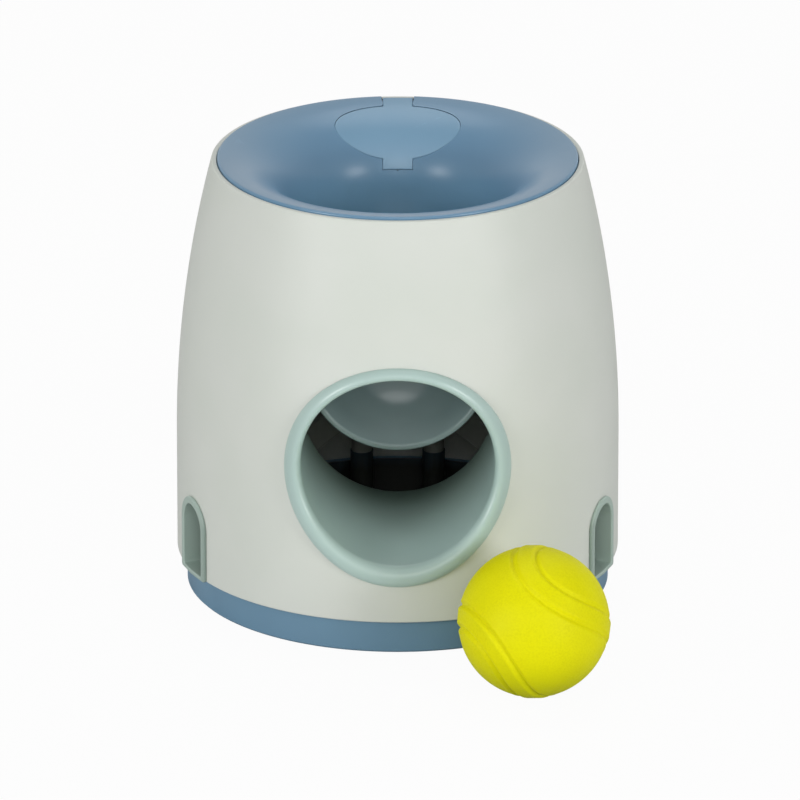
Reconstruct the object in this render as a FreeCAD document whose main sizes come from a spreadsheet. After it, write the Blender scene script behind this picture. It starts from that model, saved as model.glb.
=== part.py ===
import FreeCAD, Part
import math
import os
import re
from collections import namedtuple

import Sketcher

# Dog puzzle toy. Millimetres, +Z up, front towards -Y.
# The origin lies on the floor under the centre of the base.
# A ball dropped into the funnel tips the scoop, rolls out of the front tube, and
# turns the metering drum, which lets a portion of treats slide to the side exits.

# Driving dimensions, in millimetres and degrees.
sizes = {
    # outer shell
    "shell_radius": 85.0,
    "shell_wall": 2.6,
    "shell_bottom": 13.0,
    "shell_straight_top": 62.0,
    "shell_curve_radius": 440.0,
    "rim_step": 1.1,
    "rim_lip": 2.18,
    "shell_lug_height": 16.0,
    "funnel_lug_height": 3.0,
    "lug_half_width": 4.2,
    "fit_gap": 0.2,
    "press_play": 0.02,
    "end_play": 0.1,
    "seam_gap": 0.4,
    "lap": 0.5,
    "margin": 1.0,
    # base plate and its foot
    "base_inset": 3.8,
    "base_bottom": 0.5,
    "base_floor_top": 3.5,
    "base_rim_top": 18.0,
    "base_wall": 2.4,
    "base_edge_chamfer": 0.8,
    "ring_inset": 12.2,
    "ring_width": 10.0,
    "ring_height": 2.2,
    # screws
    "screw_radius": 1.45,
    "screw_play": 0.05,
    "head_play": 0.3,
    "tip_room": 0.6,
    "screw_head_radius": 2.8,
    "screw_head_height": 1.8,
    "screw_bite": 8.0,
    "screw_seat": 4.0,
    "funnel_bite": 6.0,
    "hopper_bite": 6.0,
    "post_radius": 4.4,
    "ramp_boss_radius": 4.0,
    "funnel_post_radius": 3.8,
    "hopper_post_radius": 3.4,
    "shell_screw_inset": 10.5,
    "funnel_screw_inset": 5.0,
    # funnel
    "funnel_height": 172.5,
    "funnel_wall": 2.0,
    "funnel_skirt": 12.0,
    "dish_curve_radius": 50.0,
    "bend_radius": 30.0,
    "bend_angle": 80.0,
    "throat_play": 10.5,
    "throat_depth": 42.5,
    # fill lid and its hinge
    "lid_half_width": 24.7,
    "lid_hinge_room": 4.55,
    "lid_reach": 9.8,
    "lid_drop": 6.7,
    "lid_cut_share": 0.72,
    "lid_plan_extra": 2.95,
    "lid_rear_drop": 0.6,
    "lid_gap": 0.4,
    "lid_wall": 1.9,
    "tab_slot_depth": 4.0,
    "tab_half_width": 5.8,
    "tab_drop": 20.7,
    "hinge_inset": 4.0,
    "hinge_drop": 2.4,
    "hinge_pin_radius": 1.0,
    "hinge_barrel_radius": 1.7,
    "hinge_tab_reach": 3.2,
    "hinge_ear_width": 3.6,
    "hinge_ear_reach": 3.0,
    # front tube
    "tube_play": 7.8,
    "tube_wall": 2.2,
    "tube_slope": 7.0,
    "tube_drop": 6.0,
    "tube_rear": 20.0,
    "tube_upper_rear": 36.0,
    "tube_low_wall_drop": 12.0,
    "tube_wall_step": 8.0,
    "shell_hole_play": 1.4,
    "shell_hole_rise": 0.7,
    "ring_lip_width": 6.8,
    "ring_lip_height": 2.6,
    "ring_lip_rounding": 1.2,
    "tube_post_x": 14.0,
    "tube_post_y": 50.0,
    "tube_post_drop": 44.0,
    "tube_boss_height": 16.0,
    # treat exits
    "exit_angle": 67.0,
    "exit_half_width": 8.4,
    "exit_arch_height": 34.0,
    "liner_wall": 1.8,
    "liner_lip": 1.1,
    "liner_lip_height": 1.2,
    "liner_length": 15.5,
    # treat ramp
    "chute_room": 7.8,
    "chute_inset": 17.8,
    "chute_wall": 1.6,
    "chute_side": 11.0,
    "chute_low": 16.0,
    "chute_drop": 30.0,
    "chute_first_angle": 14.0,
    "chute_last_angle": 70.0,
    "roof_rise": 14.0,
    "roof_wall": 2.6,
    "roof_rear_share": 0.8,
    "ramp_boss_rise": 0.28,
    "ramp_post_x": 14.0,
    "ramp_post_drop": 18.0,
    # frame plates
    "plate_room": 2.2,
    "plate_wall": 3.0,
    "plate_front": 14.0,
    "plate_chute_gap": 1.58,
    "plate_rear_reach": 8.0,
    "plate_waist_drop": 20.0,
    "plate_shoulder_rise": 22.0,
    "plate_top_reach": 2.0,
    "plate_top_rise": 6.0,
    "plate_front_rise": 14.0,
    "foot_width": 10.0,
    "foot_height": 9.0,
    "foot_pad_top": 7.5,
    "foot_screw_inset_front": 6.0,
    "foot_screw_inset_rear": 7.0,
    # scoop
    "scoop_play": 4.6,
    "scoop_wall": 2.2,
    "scoop_axis_rise": 18.4,
    "scoop_front": 27.0,
    "scoop_front_rise": 2.0,
    "scoop_back_rise": 25.0,
    "pivot_inset": 73.0,
    "pivot_height": 78.0,
    "trunnion_radius": 4.0,
    "trunnion_boss_radius": 7.0,
    "running_gap": 0.06,
    "bush_wall": 1.6,
    "bush_flange": 0.9,
    "bush_flange_reach": 1.4,
    # gears
    "gear_module": 1.0,
    "sector_teeth": 76.0,
    "pinion_teeth": 16.0,
    "pressure_angle": 20.0,
    "gear_backlash": 0.22,
    "sector_addendum": 0.85,
    "sector_dedendum": 1.25,
    "pinion_addendum": 0.9,
    "pinion_dedendum": 1.2,
    "window_radius": 4.9,
    "window_reach": 23.5,
    "gear_room": 1.0,
    "gear_width": 4.4,
    "sector_low_angle": 33.0,
    "sector_high_angle": 9.0,
    "hub_radius": 8.0,
    "hub_play": 0.4,
    "tilt_range": 24.0,
    # counterweight
    "arm_length": 31.0,
    "arm_angle": 14.0,
    "arm_half_width": 4.0,
    "arm_end_radius": 6.0,
    "weight_radius": 8.5,
    "weight_length": 10.0,
    "weight_edge": 0.8,
    "trunnion_head_radius": 6.0,
    "stop_reach_y": 18.0,
    "stop_half": 3.0,
    "stop_pad": 2.6,
    "stop_gap": 0.2,
    "stop_block": 5.0,
    # metering drum
    "drum_radius": 13.0,
    "drum_half_length": 16.0,
    "pocket_radius": 7.0,
    "pocket_end": 1.6,
    "drum_axle_radius": 2.5,
    "clip_width": 0.8,
    "clip_radius": 4.5,
    "clip_play": 0.3,
    "axle_overhang": 0.8,
    # hopper
    "hopper_play": 0.6,
    "hopper_wall": 1.6,
    "hopper_drop": 22.0,
    "hopper_slope_rise": 27.0,
    "hopper_throat_gap": 1.8,
    "hopper_inset": 17.5,
    "hopper_front_reach": 28.0,
    "hopper_screw_reach_front": 12.0,
    "hopper_screw_reach_rear": 3.0,
    "hopper_screw_drop": 24.5,
    "neck_rise": 15.0,
    "neck_overlap": 1.0,
    "neck_play": 0.5,
    "neck_lap": 2.0,
    "axle_room": 1.5,
    # ball
    "ball_radius": 29.0,
    "ball_x": 51.4,
    "ball_y": -120.5,
    "ball_groove_radius": 0.9,
    "band_near": 0.63,
    "band_far": 0.81,
}

# Lengths that follow from the driving dimensions.
formulas = {
    "shell_top": "funnel_height - rim_step",
    "base_radius": "shell_radius - base_inset",
    "ring_outer": "base_radius - ring_inset",
    "ring_inner": "ring_outer - ring_width",
    "shell_screw_circle": "shell_radius - shell_screw_inset",
    "shell_inner": "shell_radius - shell_wall",
    "curve_centre": "shell_radius - shell_curve_radius",
    "shell_top_radius": "curve_centre + sqrt(shell_curve_radius^2 - (shell_top - shell_straight_top)^2)",
    "funnel_radius": "shell_top_radius - rim_lip",
    "funnel_screw_circle": "funnel_radius - funnel_screw_inset",
    "lip_inner": "funnel_radius + fit_gap",
    "inner_curve": "shell_curve_radius - shell_wall",
    "lip_foot": "shell_straight_top + sqrt(inner_curve^2 - (lip_inner - curve_centre)^2)",
    "middle_curve": "shell_curve_radius - shell_wall / 2",
    "funnel_lug_top": "funnel_height - funnel_skirt",
    "funnel_lug_reach": "curve_centre + sqrt(middle_curve^2 - (funnel_lug_top - shell_straight_top)^2)",
    "screw_hole": "screw_radius + screw_play",
    "head_hole": "screw_head_radius + head_play",
    "screw_length": "screw_seat + screw_bite",
    "hole_depth": "screw_bite + tip_room",
    "spigot_radius": "shell_inner - fit_gap",
    "spigot_foot": "shell_bottom + seam_gap",
    "throat_radius": "ball_radius + throat_play",
    "throat_bottom": "funnel_height - throat_depth",
    "throat_outer": "throat_radius + funnel_wall",
    "bend_centre_x": "throat_radius + bend_radius",
    "bend_end_x": "bend_centre_x - bend_radius * cos(bend_angle)",
    "dish_slope": "90 - bend_angle",
    "dish_centre_x": "bend_end_x + dish_curve_radius * sin(dish_slope)",
    "dish_rise": "sqrt(dish_curve_radius^2 - (dish_centre_x - funnel_radius)^2)"
                 " - dish_curve_radius * cos(dish_slope)",
    "bend_end_z": "funnel_height - dish_rise",
    "bend_centre_z": "bend_end_z - bend_radius * sin(bend_angle)",
    "dish_centre_z": "bend_end_z - dish_curve_radius * cos(dish_slope)",
    "skirt_inner": "funnel_radius - funnel_wall",
    "hinge_height": "funnel_height - hinge_drop",
    "hinge_y": "funnel_radius - hinge_inset",
    "lid_centre_y": "throat_radius + lid_reach",
    "lid_centre_z": "funnel_height - lid_drop",
    "lid_rear_y": "hinge_y - lid_hinge_room",
    "lid_half_length": "(lid_rear_y - lid_rear_drop - lid_centre_y + lid_drop) / sqrt(2)",
    "lid_cut_depth": "lid_cut_share * lid_half_length",
    "lid_plan_half": "lid_rear_y - lid_centre_y + lid_plan_extra",
    "tab_bottom": "funnel_height - tab_drop",
    "tube_radius": "ball_radius + tube_play",
    "tube_outer": "tube_radius + tube_wall",
    "tube_front_height": "pivot_height - tube_drop",
    "tube_low_wall_top": "pivot_height - tube_low_wall_drop",
    "tube_post_top": "tube_front_height - tube_post_drop",
    "ring_lip_radius": "tube_radius + ring_lip_width",
    "shell_hole": "tube_outer + shell_hole_play",
    "liner_inner_end": "shell_radius - liner_length",
    "liner_half": "exit_half_width + liner_wall",
    "slot_half": "liner_half + fit_gap",
    "bush_radius": "trunnion_radius + running_gap",
    "bush_outer": "bush_radius + bush_wall",
    "pivot_y": "shell_radius - pivot_inset",
    "scoop_radius": "ball_radius + scoop_play",
    "scoop_outer": "scoop_radius + scoop_wall",
    "scoop_axis_height": "pivot_height + scoop_axis_rise",
    "scoop_front_height": "pivot_height + scoop_front_rise",
    "scoop_back_height": "pivot_height + scoop_back_rise",
    "sector_pitch": "gear_module * sector_teeth / 2",
    "pinion_pitch": "gear_module * pinion_teeth / 2",
    "drum_y": "pivot_y + sector_pitch + pinion_pitch",
    "drum_bush_bore": "drum_axle_radius + running_gap",
    "drum_bush_outer": "drum_bush_bore + bush_wall",
    "boss_end": "plate_inner - bush_flange - fit_gap",
    "plate_inner": "scoop_outer + plate_room",
    "plate_outer": "plate_inner + plate_wall",
    "chute_inner": "plate_outer + chute_room",
    "chute_outer": "shell_radius - chute_inset",
    "chute_high": "pivot_height - chute_drop",
    "roof_ridge": "chute_high + roof_rise",
    "roof_eaves": "chute_high - chute_wall",
    "roof_reach": "chute_outer * sin(90 - chute_last_angle)",
    "ramp_boss_share": "1 - (ramp_post_x + ramp_boss_radius) / roof_reach",
    "ramp_boss_top": "roof_eaves + (roof_ridge - roof_wall - roof_eaves) * ramp_boss_share + ramp_boss_rise",
    "ramp_post_y": "(chute_inner + chute_outer) / 2",
    "ramp_post_top": "chute_high - ramp_post_drop",
    "plate_step": "sqrt((chute_inner - chute_wall - plate_chute_gap)^2 - plate_outer^2)",
    "plate_rear": "drum_y + plate_rear_reach",
    "plate_waist": "pivot_height - plate_waist_drop",
    "plate_shoulder": "pivot_height + plate_shoulder_rise",
    "plate_top_rear": "drum_y + plate_top_reach",
    "plate_top": "hopper_screw_height + plate_top_rise",
    "plate_front_height": "pivot_height + plate_front_rise",
    "foot_screw_front": "plate_front - foot_screw_inset_front",
    "foot_screw_rear": "plate_step - foot_screw_inset_rear",
    "gear_start": "plate_outer + gear_room",
    "gear_end": "gear_start + gear_width",
    "ear_outer": "tab_half_width + lid_gap + hinge_ear_width",
    "trunnion_end": "gear_end - end_play",
    "neck_half": "drum_half_length + neck_play + hopper_wall",
    "neck_top": "pivot_height + neck_rise",
    "neck_bottom": "pivot_height - neck_overlap",
    "hopper_half_width": "plate_inner - hopper_play",
    "hopper_top": "funnel_height - hopper_drop",
    "hopper_slope_top": "neck_top + hopper_slope_rise",
    "hopper_inner_radius": "throat_outer + hopper_throat_gap",
    "hopper_outer_radius": "shell_radius - hopper_inset",
    "hopper_front": "drum_y - hopper_front_reach",
    "hopper_screw_front": "drum_y - hopper_screw_reach_front",
    "hopper_screw_rear": "drum_y - hopper_screw_reach_rear",
    "hopper_screw_height": "hopper_top - hopper_screw_drop",
    "weight_y": "pivot_y + arm_length * cos(arm_angle)",
    "weight_z": "pivot_height - arm_length * sin(arm_angle)",
    "tilted_arm_angle": "tilt_range - arm_angle",
    "stop_y": "pivot_y + stop_reach_y",
    "stop_reach": "stop_y + stop_half - pivot_y",
    "stop_low": "pivot_height - stop_reach * tan(arm_angle) - arm_half_width / cos(arm_angle) - stop_gap",
    "stop_high": "pivot_height + stop_reach * tan(tilted_arm_angle)"
                 " + arm_half_width / cos(tilted_arm_angle) + stop_gap",
}

leastChange = 0.001  # volume in mm3 that a feature has to add or take away

Circle = namedtuple("Circle", "x y radius")
Bend = namedtuple("Bend", "x y radius turn")  # turn is 1 for a left-hand arc, -1 for a right-hand one

doc = FreeCAD.newDocument("PuzzleToy")
sheet = doc.addObject("Spreadsheet::Sheet", "Sizes")
for row, (name, value) in enumerate(sizes.items(), start=1):
    sheet.set(f"A{row}", name)
    sheet.set(f"B{row}", str(value))
    sheet.setAlias(f"B{row}", name)
doc.recompute()


def bound(text):
    """Write an expression of plain size names as one that reads the sheet."""
    def resolve(match):
        word = match.group(0)
        if word in formulas:
            return f"({bound(formulas[word])})"
        return f"Sizes.{word}" if word in sizes else word
    return re.sub(r"[a-z][a-z_0-9]*", resolve, str(text))


def number(text):
    """The present value of an expression."""
    return float(sheet.evalExpression(bound(text)))


# Sketches and features


def placeArc(sketch, start, end, radius, turn):
    # The centre lies to the left of the way from start to end where turn is 1.
    chord = end - start
    middle = start + chord * 0.5
    left = FreeCAD.Vector(-chord.y, chord.x, 0).normalize() * turn
    rise = math.sqrt(max(radius ** 2 - (chord.Length / 2) ** 2, 0.0))
    centre = middle + left * rise
    first, last = (start, end) if turn > 0 else (end, start)
    angles = [math.atan2(p.y - centre.y, p.x - centre.x) for p in (first, last)]
    if angles[1] <= angles[0]:
        angles[1] += 2 * math.pi
    circle = Part.Circle(centre, FreeCAD.Vector(0, 0, 1), radius)
    return sketch.addGeometry(Part.ArcOfCircle(circle, *angles), False)


def fixValue(sketch, kind, *where, text):
    index = sketch.addConstraint(Sketcher.Constraint(kind, *where, number(text)))
    sketch.setExpression(f"Constraints[{index}]", bound(text))


def drawOutline(sketch, points):
    # Each corner is fixed from the sketch's origin, so every outline is fully constrained.
    corners = [FreeCAD.Vector(number(p[0]), number(p[1]), 0) for p in points]
    ends = []
    for index, point in enumerate(points):
        start = corners[index]
        end = corners[(index + 1) % len(points)]
        if isinstance(point, Bend):
            edge = placeArc(sketch, start, end, number(point.radius), point.turn)
            ends.append((edge, 1, 2) if point.turn > 0 else (edge, 2, 1))
        else:
            edge = sketch.addGeometry(Part.LineSegment(start, end), False)
            ends.append((edge, 1, 2))
    for index, (edge, first, last) in enumerate(ends):
        following, begin, _ = ends[(index + 1) % len(ends)]
        sketch.addConstraint(Sketcher.Constraint("Coincident", edge, last, following, begin))
    for point, (edge, first, last) in zip(points, ends):
        fixValue(sketch, "DistanceX", -1, 1, edge, first, text=point[0])
        fixValue(sketch, "DistanceY", -1, 1, edge, first, text=point[1])
        if isinstance(point, Bend):
            fixValue(sketch, "Radius", edge, text=point.radius)


def drawCircle(sketch, circle):
    centre = FreeCAD.Vector(number(circle.x), number(circle.y), 0)
    shape = Part.Circle(centre, FreeCAD.Vector(0, 0, 1), number(circle.radius))
    edge = sketch.addGeometry(shape, False)
    fixValue(sketch, "DistanceX", -1, 1, edge, 3, text=circle.x)
    fixValue(sketch, "DistanceY", -1, 1, edge, 3, text=circle.y)
    fixValue(sketch, "Radius", edge, text=circle.radius)


def rectangle(left, low, right, high):
    return [(left, low), (right, low), (right, high), (left, high)]


def newBody(label):
    body = doc.addObject("PartDesign::Body", label)
    body.Label = label
    return body


def newSketch(body, plane, shapes, height="0", turn="0"):
    # turn swings the sketch about the vertical axis, height moves it along its normal
    sketch = body.newObject("Sketcher::SketchObject", f"{body.Label}_sketch")
    origin = next(item for item in body.Origin.OriginFeatures if item.Role == f"{plane}_Plane")
    sketch.AttachmentSupport = [(origin, "")]
    sketch.MapMode = "FlatFace"
    axis = FreeCAD.Vector(0, 0, 1) if plane == "XY" else FreeCAD.Vector(0, 1, 0)
    rotation = FreeCAD.Rotation(axis, number(turn))
    sketch.AttachmentOffset = FreeCAD.Placement(FreeCAD.Vector(), rotation)
    if plane == "XY":
        sketch.setExpression("AttachmentOffset.Base.z", bound(height))
    else:
        sketch.setExpression("AttachmentOffset.Base.x", bound(f"({height}) * sin({turn})"))
        sketch.setExpression("AttachmentOffset.Base.z", bound(f"({height}) * cos({turn})"))
    for shape in shapes:
        if isinstance(shape, Circle):
            drawCircle(sketch, shape)
        else:
            drawOutline(sketch, shape)
    doc.recompute()
    return sketch


def volumeOf(body):
    return 0.0 if body.Shape.isNull() else body.Shape.Volume


def addFeature(body, kind, sketch):
    before = volumeOf(body)
    feature = body.newObject(f"PartDesign::{kind}", f"{body.Label}_{kind.lower()}")
    feature.Profile = sketch
    feature.Refine = True
    return feature, before


def settle(body, feature, before, grows):
    doc.recompute()
    change = volumeOf(body) - before
    if (change > 0) != grows or abs(change) < leastChange:
        raise RuntimeError(f"{feature.Label} of {body.Label} changes the volume by {change:.4f}")
    return feature


def pad(body, plane, shapes, start, end, turn="0"):
    # The sketch on XZ faces -Y, so its distances count the other way.
    side = -1 if plane == "XZ" else 1
    sketch = newSketch(body, plane, shapes, f"{side} * ({start})", turn)
    feature, before = addFeature(body, "Pad", sketch)
    feature.Reversed = side < 0
    feature.setExpression("Length", bound(f"({end}) - ({start})"))
    return settle(body, feature, before, True)


def pocket(body, plane, shapes, start, end, turn="0"):
    side = -1 if plane == "XZ" else 1
    sketch = newSketch(body, plane, shapes, f"{side} * ({start})", turn)
    feature, before = addFeature(body, "Pocket", sketch)
    feature.Reversed = side > 0
    feature.setExpression("Length", bound(f"({end}) - ({start})"))
    return settle(body, feature, before, False)


def revolve(body, shapes, kind="Revolution"):
    sketch = newSketch(body, "XZ", shapes)
    feature, before = addFeature(body, kind, sketch)
    feature.ReferenceAxis = (sketch, ["V_Axis"])
    feature.Angle = 360
    return settle(body, feature, before, kind == "Revolution")


def polar(body, feature, count):
    before = volumeOf(body)
    pattern = body.newObject("PartDesign::PolarPattern", f"{body.Label}_pattern")
    pattern.Originals = [feature]
    pattern.Axis = (feature.Profile[0], ["N_Axis"])
    pattern.Angle = 360
    pattern.Occurrences = count
    body.Tip = pattern
    doc.recompute()
    if abs(volumeOf(body) - before) < leastChange:
        raise RuntimeError(f"the pattern on {body.Label} adds nothing")
    return pattern


# Solids outside bodies

directions = {
    "+X": (FreeCAD.Vector(0, 1, 0), 90),
    "-X": (FreeCAD.Vector(0, 1, 0), -90),
    "+Y": (FreeCAD.Vector(1, 0, 0), -90),
    "-Y": (FreeCAD.Vector(1, 0, 0), 90),
    "+Z": (FreeCAD.Vector(0, 0, 1), 0),
}


def place(item, x, y, z):
    for coordinate, text in zip("xyz", (x, y, z)):
        item.setExpression(f"Placement.Base.{coordinate}", bound(text))
    return item


def cylinder(name, radius, height, x="0", y="0", z="0", direction="+Z"):
    item = doc.addObject("Part::Cylinder", name)
    item.setExpression("Radius", bound(radius))
    item.setExpression("Height", bound(height))
    item.Placement = FreeCAD.Placement(FreeCAD.Vector(), FreeCAD.Rotation(*directions[direction]))
    return place(item, x, y, z)


def box(name, low, high):
    item = doc.addObject("Part::Box", name)
    for side, start, end in zip(("Length", "Width", "Height"), low, high):
        item.setExpression(side, bound(f"({end}) - ({start})"))
    return place(item, *low)


def sphere(name, radius, x, y, z):
    item = doc.addObject("Part::Sphere", name)
    item.setExpression("Radius", bound(radius))
    return place(item, x, y, z)


def combine(kind, label, parts):
    item = doc.addObject(f"Part::{kind}", label)
    item.Label = label
    if kind == "Cut":
        item.Base, item.Tool = parts
    elif kind == "Compound":
        item.Links = parts
    else:
        item.Shapes = parts
    if kind != "Compound":
        item.Refine = True
    return item


def screws(label, places, direction, length):
    # Each place is where the top of a head lies; the shank points along direction.
    pieces = []
    for index, spot in enumerate(places, start=1):
        head = cylinder(f"{label}_head_{index}", "screw_head_radius", "screw_head_height", *spot, direction)
        reach = f"screw_head_height + {length}"
        shank = cylinder(f"{label}_shank_{index}", "screw_radius", reach, *spot, direction)
        pieces.append(combine("MultiFuse", f"{label}_{index}", [head, shank]))
    return combine("Compound", label, pieces)


# Places of the screws, as pairs of x and y


def ringOf(radius, first, count):
    step = 360 / count
    return [(f"{radius} * cos({first + step * turn})", f"{radius} * sin({first + step * turn})")
            for turn in range(count)]


def mirrored(x, *ys):
    return [(f"{side} * {x}", y) for side in (-1, 1) for y in ys]


shellScrews = ringOf("shell_screw_circle", 45, 4)
funnelScrews = ringOf("funnel_screw_circle", 45, 4)
footScrews = mirrored("(plate_inner - foot_width / 2)", "-foot_screw_front", "foot_screw_rear")
tubeScrews = mirrored("tube_post_x", "-tube_post_y")
rampScrews = mirrored("ramp_post_x", "ramp_post_y")
hopperScrews = [("hopper_screw_front", "hopper_screw_height"), ("hopper_screw_rear", "hopper_screw_height")]


def circles(places, radius):
    return [Circle(x, y, radius) for x, y in places]


def archOutline(half, low, spring):
    return [(f"-({half})", low), (half, low), Bend(half, spring, half, 1),
            Bend("0", f"{spring} + {half}", half, 1), (f"-({half})", spring)]


# The exits lie to both sides of the front, so their direction is counted from +X.
exitTurns = {"left": "270 - exit_angle", "right": "exit_angle - 90"}


# Casing


def makeOuterShell():
    body = newBody("outer_shell")
    revolve(body, [[
        ("shell_inner", "shell_bottom"),
        ("shell_radius", "shell_bottom"),
        Bend("shell_radius", "shell_straight_top", "shell_curve_radius", 1),
        ("shell_top_radius", "shell_top"),
        ("lip_inner", "shell_top"),
        Bend("lip_inner", "lip_foot", "inner_curve", -1),
        ("shell_inner", "shell_straight_top"),
    ]])
    lower = rectangle("shell_screw_circle - lug_half_width", "-lug_half_width",
                      "shell_radius - shell_wall / 2", "lug_half_width")
    lug = pad(body, "XY", [lower, Circle("shell_screw_circle", "0", "screw_hole")],
              "base_rim_top", "base_rim_top + shell_lug_height", "45")
    polar(body, lug, 4)
    upper = rectangle("funnel_screw_circle - lug_half_width", "-lug_half_width",
                      "funnel_lug_reach", "lug_half_width")
    lug = pad(body, "XY", [upper, Circle("funnel_screw_circle", "0", "screw_hole")],
              "funnel_lug_top - funnel_lug_height", "funnel_lug_top", "45")
    polar(body, lug, 4)
    pocket(body, "XZ", [Circle("0", "tube_front_height + shell_hole_rise", "shell_hole")],
           "-shell_radius - margin", "-shell_radius / 2")
    for turn in exitTurns.values():
        pocket(body, "YZ", [archOutline("slot_half", "shell_bottom - margin", "exit_arch_height")],
               "shell_radius / 2", "shell_radius + margin", turn)
    return body


def makeBasePlate():
    body = newBody("base_plate")
    revolve(body, [[
        ("0", "base_bottom"),
        ("ring_inner - fit_gap", "base_bottom"),
        ("ring_inner - fit_gap", "ring_height"),
        ("ring_outer + fit_gap", "ring_height"),
        ("ring_outer + fit_gap", "base_bottom"),
        ("base_radius - base_edge_chamfer", "base_bottom"),
        ("base_radius", "base_bottom + base_edge_chamfer"),
        ("base_radius", "spigot_foot"),
        ("spigot_radius", "spigot_foot"),
        ("spigot_radius", "base_rim_top"),
        ("base_radius - base_wall", "base_rim_top"),
        ("base_radius - base_wall", "base_floor_top"),
        ("0", "base_floor_top"),
    ]])
    posts = [(shellScrews, "base_rim_top"), (footScrews, "foot_pad_top"),
             (tubeScrews, "tube_post_top"), (rampScrews, "ramp_post_top")]
    for places, top in posts:
        pad(body, "XY", circles(places, "post_radius"), "base_floor_top - lap", top)
    everyScrew = shellScrews + footScrews + tubeScrews + rampScrews
    pocket(body, "XY", circles(everyScrew, "screw_hole"), "0", "ramp_post_top + margin")
    for places, top in posts:
        pocket(body, "XY", circles(places, "head_hole"), "0", f"{top} - screw_seat")
    for turn in exitTurns.values():
        notch = rectangle("-slot_half", "shell_bottom", "slot_half", "base_rim_top + margin")
        pocket(body, "YZ", [notch], "liner_inner_end", "shell_radius + margin", turn)
    return body


def makeAntiSlipRing():
    body = newBody("anti_slip_ring")
    revolve(body, [rectangle("ring_inner", "0", "ring_outer", "ring_height")])
    return body


# Funnel and fill lid


def dishHeight(x, drop):
    # Height of the dish at distance x from the axis, drop below its upper face.
    return f"dish_centre_z + sqrt((dish_curve_radius - {drop})^2 - (dish_centre_x - ({x}))^2)"


def dishSkin(drop, outer, foot):
    # A skin of one thickness: rim, dish, bend and throat.
    inner = f"(bend_radius - {drop})"
    under = f"(dish_curve_radius - {drop})"
    return [
        (outer, dishHeight(outer, drop)),
        Bend(outer, dishHeight(outer, "0"), "dish_curve_radius", 1),
        Bend("bend_end_x", "bend_end_z", "bend_radius", 1),
        ("throat_radius", "bend_centre_z"),
        ("throat_radius", foot),
        (f"throat_radius + {drop}", foot),
        Bend(f"throat_radius + {drop}", "bend_centre_z", inner, -1),
        Bend(f"bend_centre_x - {inner} * cos(bend_angle)", f"bend_centre_z + {inner} * sin(bend_angle)",
             under, -1),
    ]


def ellipsePrism(name, halfWidth, halfLength, y, z, lean, reach):
    # A prism to both sides of an ellipse that leans back. Its longer axis may be its width or its length.
    wide = number(halfWidth) >= number(halfLength)
    longer, shorter = (halfWidth, halfLength) if wide else (halfLength, halfWidth)
    ellipse = doc.addObject("Part::Ellipse", f"{name}_ellipse")
    ellipse.setExpression("MajorRadius", bound(longer))
    ellipse.setExpression("MinorRadius", bound(shorter))
    turn = FreeCAD.Rotation(FreeCAD.Vector(1, 0, 0), lean)
    if not wide:
        turn = turn.multiply(FreeCAD.Rotation(FreeCAD.Vector(0, 0, 1), 90))
    ellipse.Placement = FreeCAD.Placement(FreeCAD.Vector(), turn)
    place(ellipse, "0", y, z)
    prism = doc.addObject("Part::Extrusion", name)
    prism.Base = ellipse
    prism.DirMode = "Normal"
    prism.setExpression("LengthFwd", bound(reach))
    prism.setExpression("LengthRev", bound(reach))
    prism.Solid = True
    return prism


def lidPrism(name, gap, rimEnd):
    # The shield outline of the lid lies on a plane that leans back by 45 degrees.
    prism = ellipsePrism(f"{name}_prism", f"lid_half_width - {gap}", f"lid_half_length - {gap}",
                         "lid_centre_y", "lid_centre_z", 45, "lid_cut_depth")
    half = f"tab_half_width + lid_gap - {gap}"
    upper = box(f"{name}_upper", (f"-({half})", "lid_centre_y", "hinge_height - tab_slot_depth"),
                (half, rimEnd, "funnel_height + margin"))
    lower = box(f"{name}_lower", (f"-({half})", "throat_radius / 2", f"tab_bottom - lid_gap + {gap}"),
                (half, "lid_centre_y", "bend_end_z"))
    return [prism, upper, lower]


def makeFunnel():
    body = newBody("funnel_skin")
    skin = dishSkin("funnel_wall", "skirt_inner", "throat_bottom")
    skin[0:2] = [
        ("skirt_inner", dishHeight("skirt_inner", "funnel_wall")),
        ("skirt_inner", "funnel_lug_top"),
        ("funnel_radius", "funnel_lug_top"),
        Bend("funnel_radius", "funnel_height", "dish_curve_radius", 1),
    ]
    revolve(body, [skin])
    bosses = circles(funnelScrews, "funnel_post_radius")
    pad(body, "XY", bosses, "funnel_lug_top", dishHeight("funnel_screw_circle", "funnel_wall / 2"))
    pocket(body, "XY", circles(funnelScrews, "screw_hole"), "funnel_lug_top - margin",
           "funnel_lug_top + funnel_bite + tip_room")
    ears = []
    front = "hinge_y - hinge_ear_reach"
    for side in (-1, 1):
        near = f"{side} * (tab_half_width + lid_gap)"
        far = f"{side} * ear_outer"
        left, right = (far, near) if side < 0 else (near, far)
        ears.append(box("hinge_ear", (left, front, "hinge_height - hinge_ear_reach"),
                        (right, "skirt_inner + lap", dishHeight(front, "funnel_wall / 2"))))
    solid = combine("MultiFuse", "funnel_with_ears", [body] + ears)
    opening = combine("MultiFuse", "lid_opening", lidPrism("opening", "0", "funnel_radius + margin"))
    bore = cylinder("hinge_bore", "hinge_pin_radius + press_play", "2 * (ear_outer + margin)",
                    "-ear_outer - margin", "hinge_y", "hinge_height", "+X")
    tools = combine("MultiFuse", "funnel_cuts", [opening, bore])
    return combine("Cut", "funnel", [solid, tools])


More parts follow.
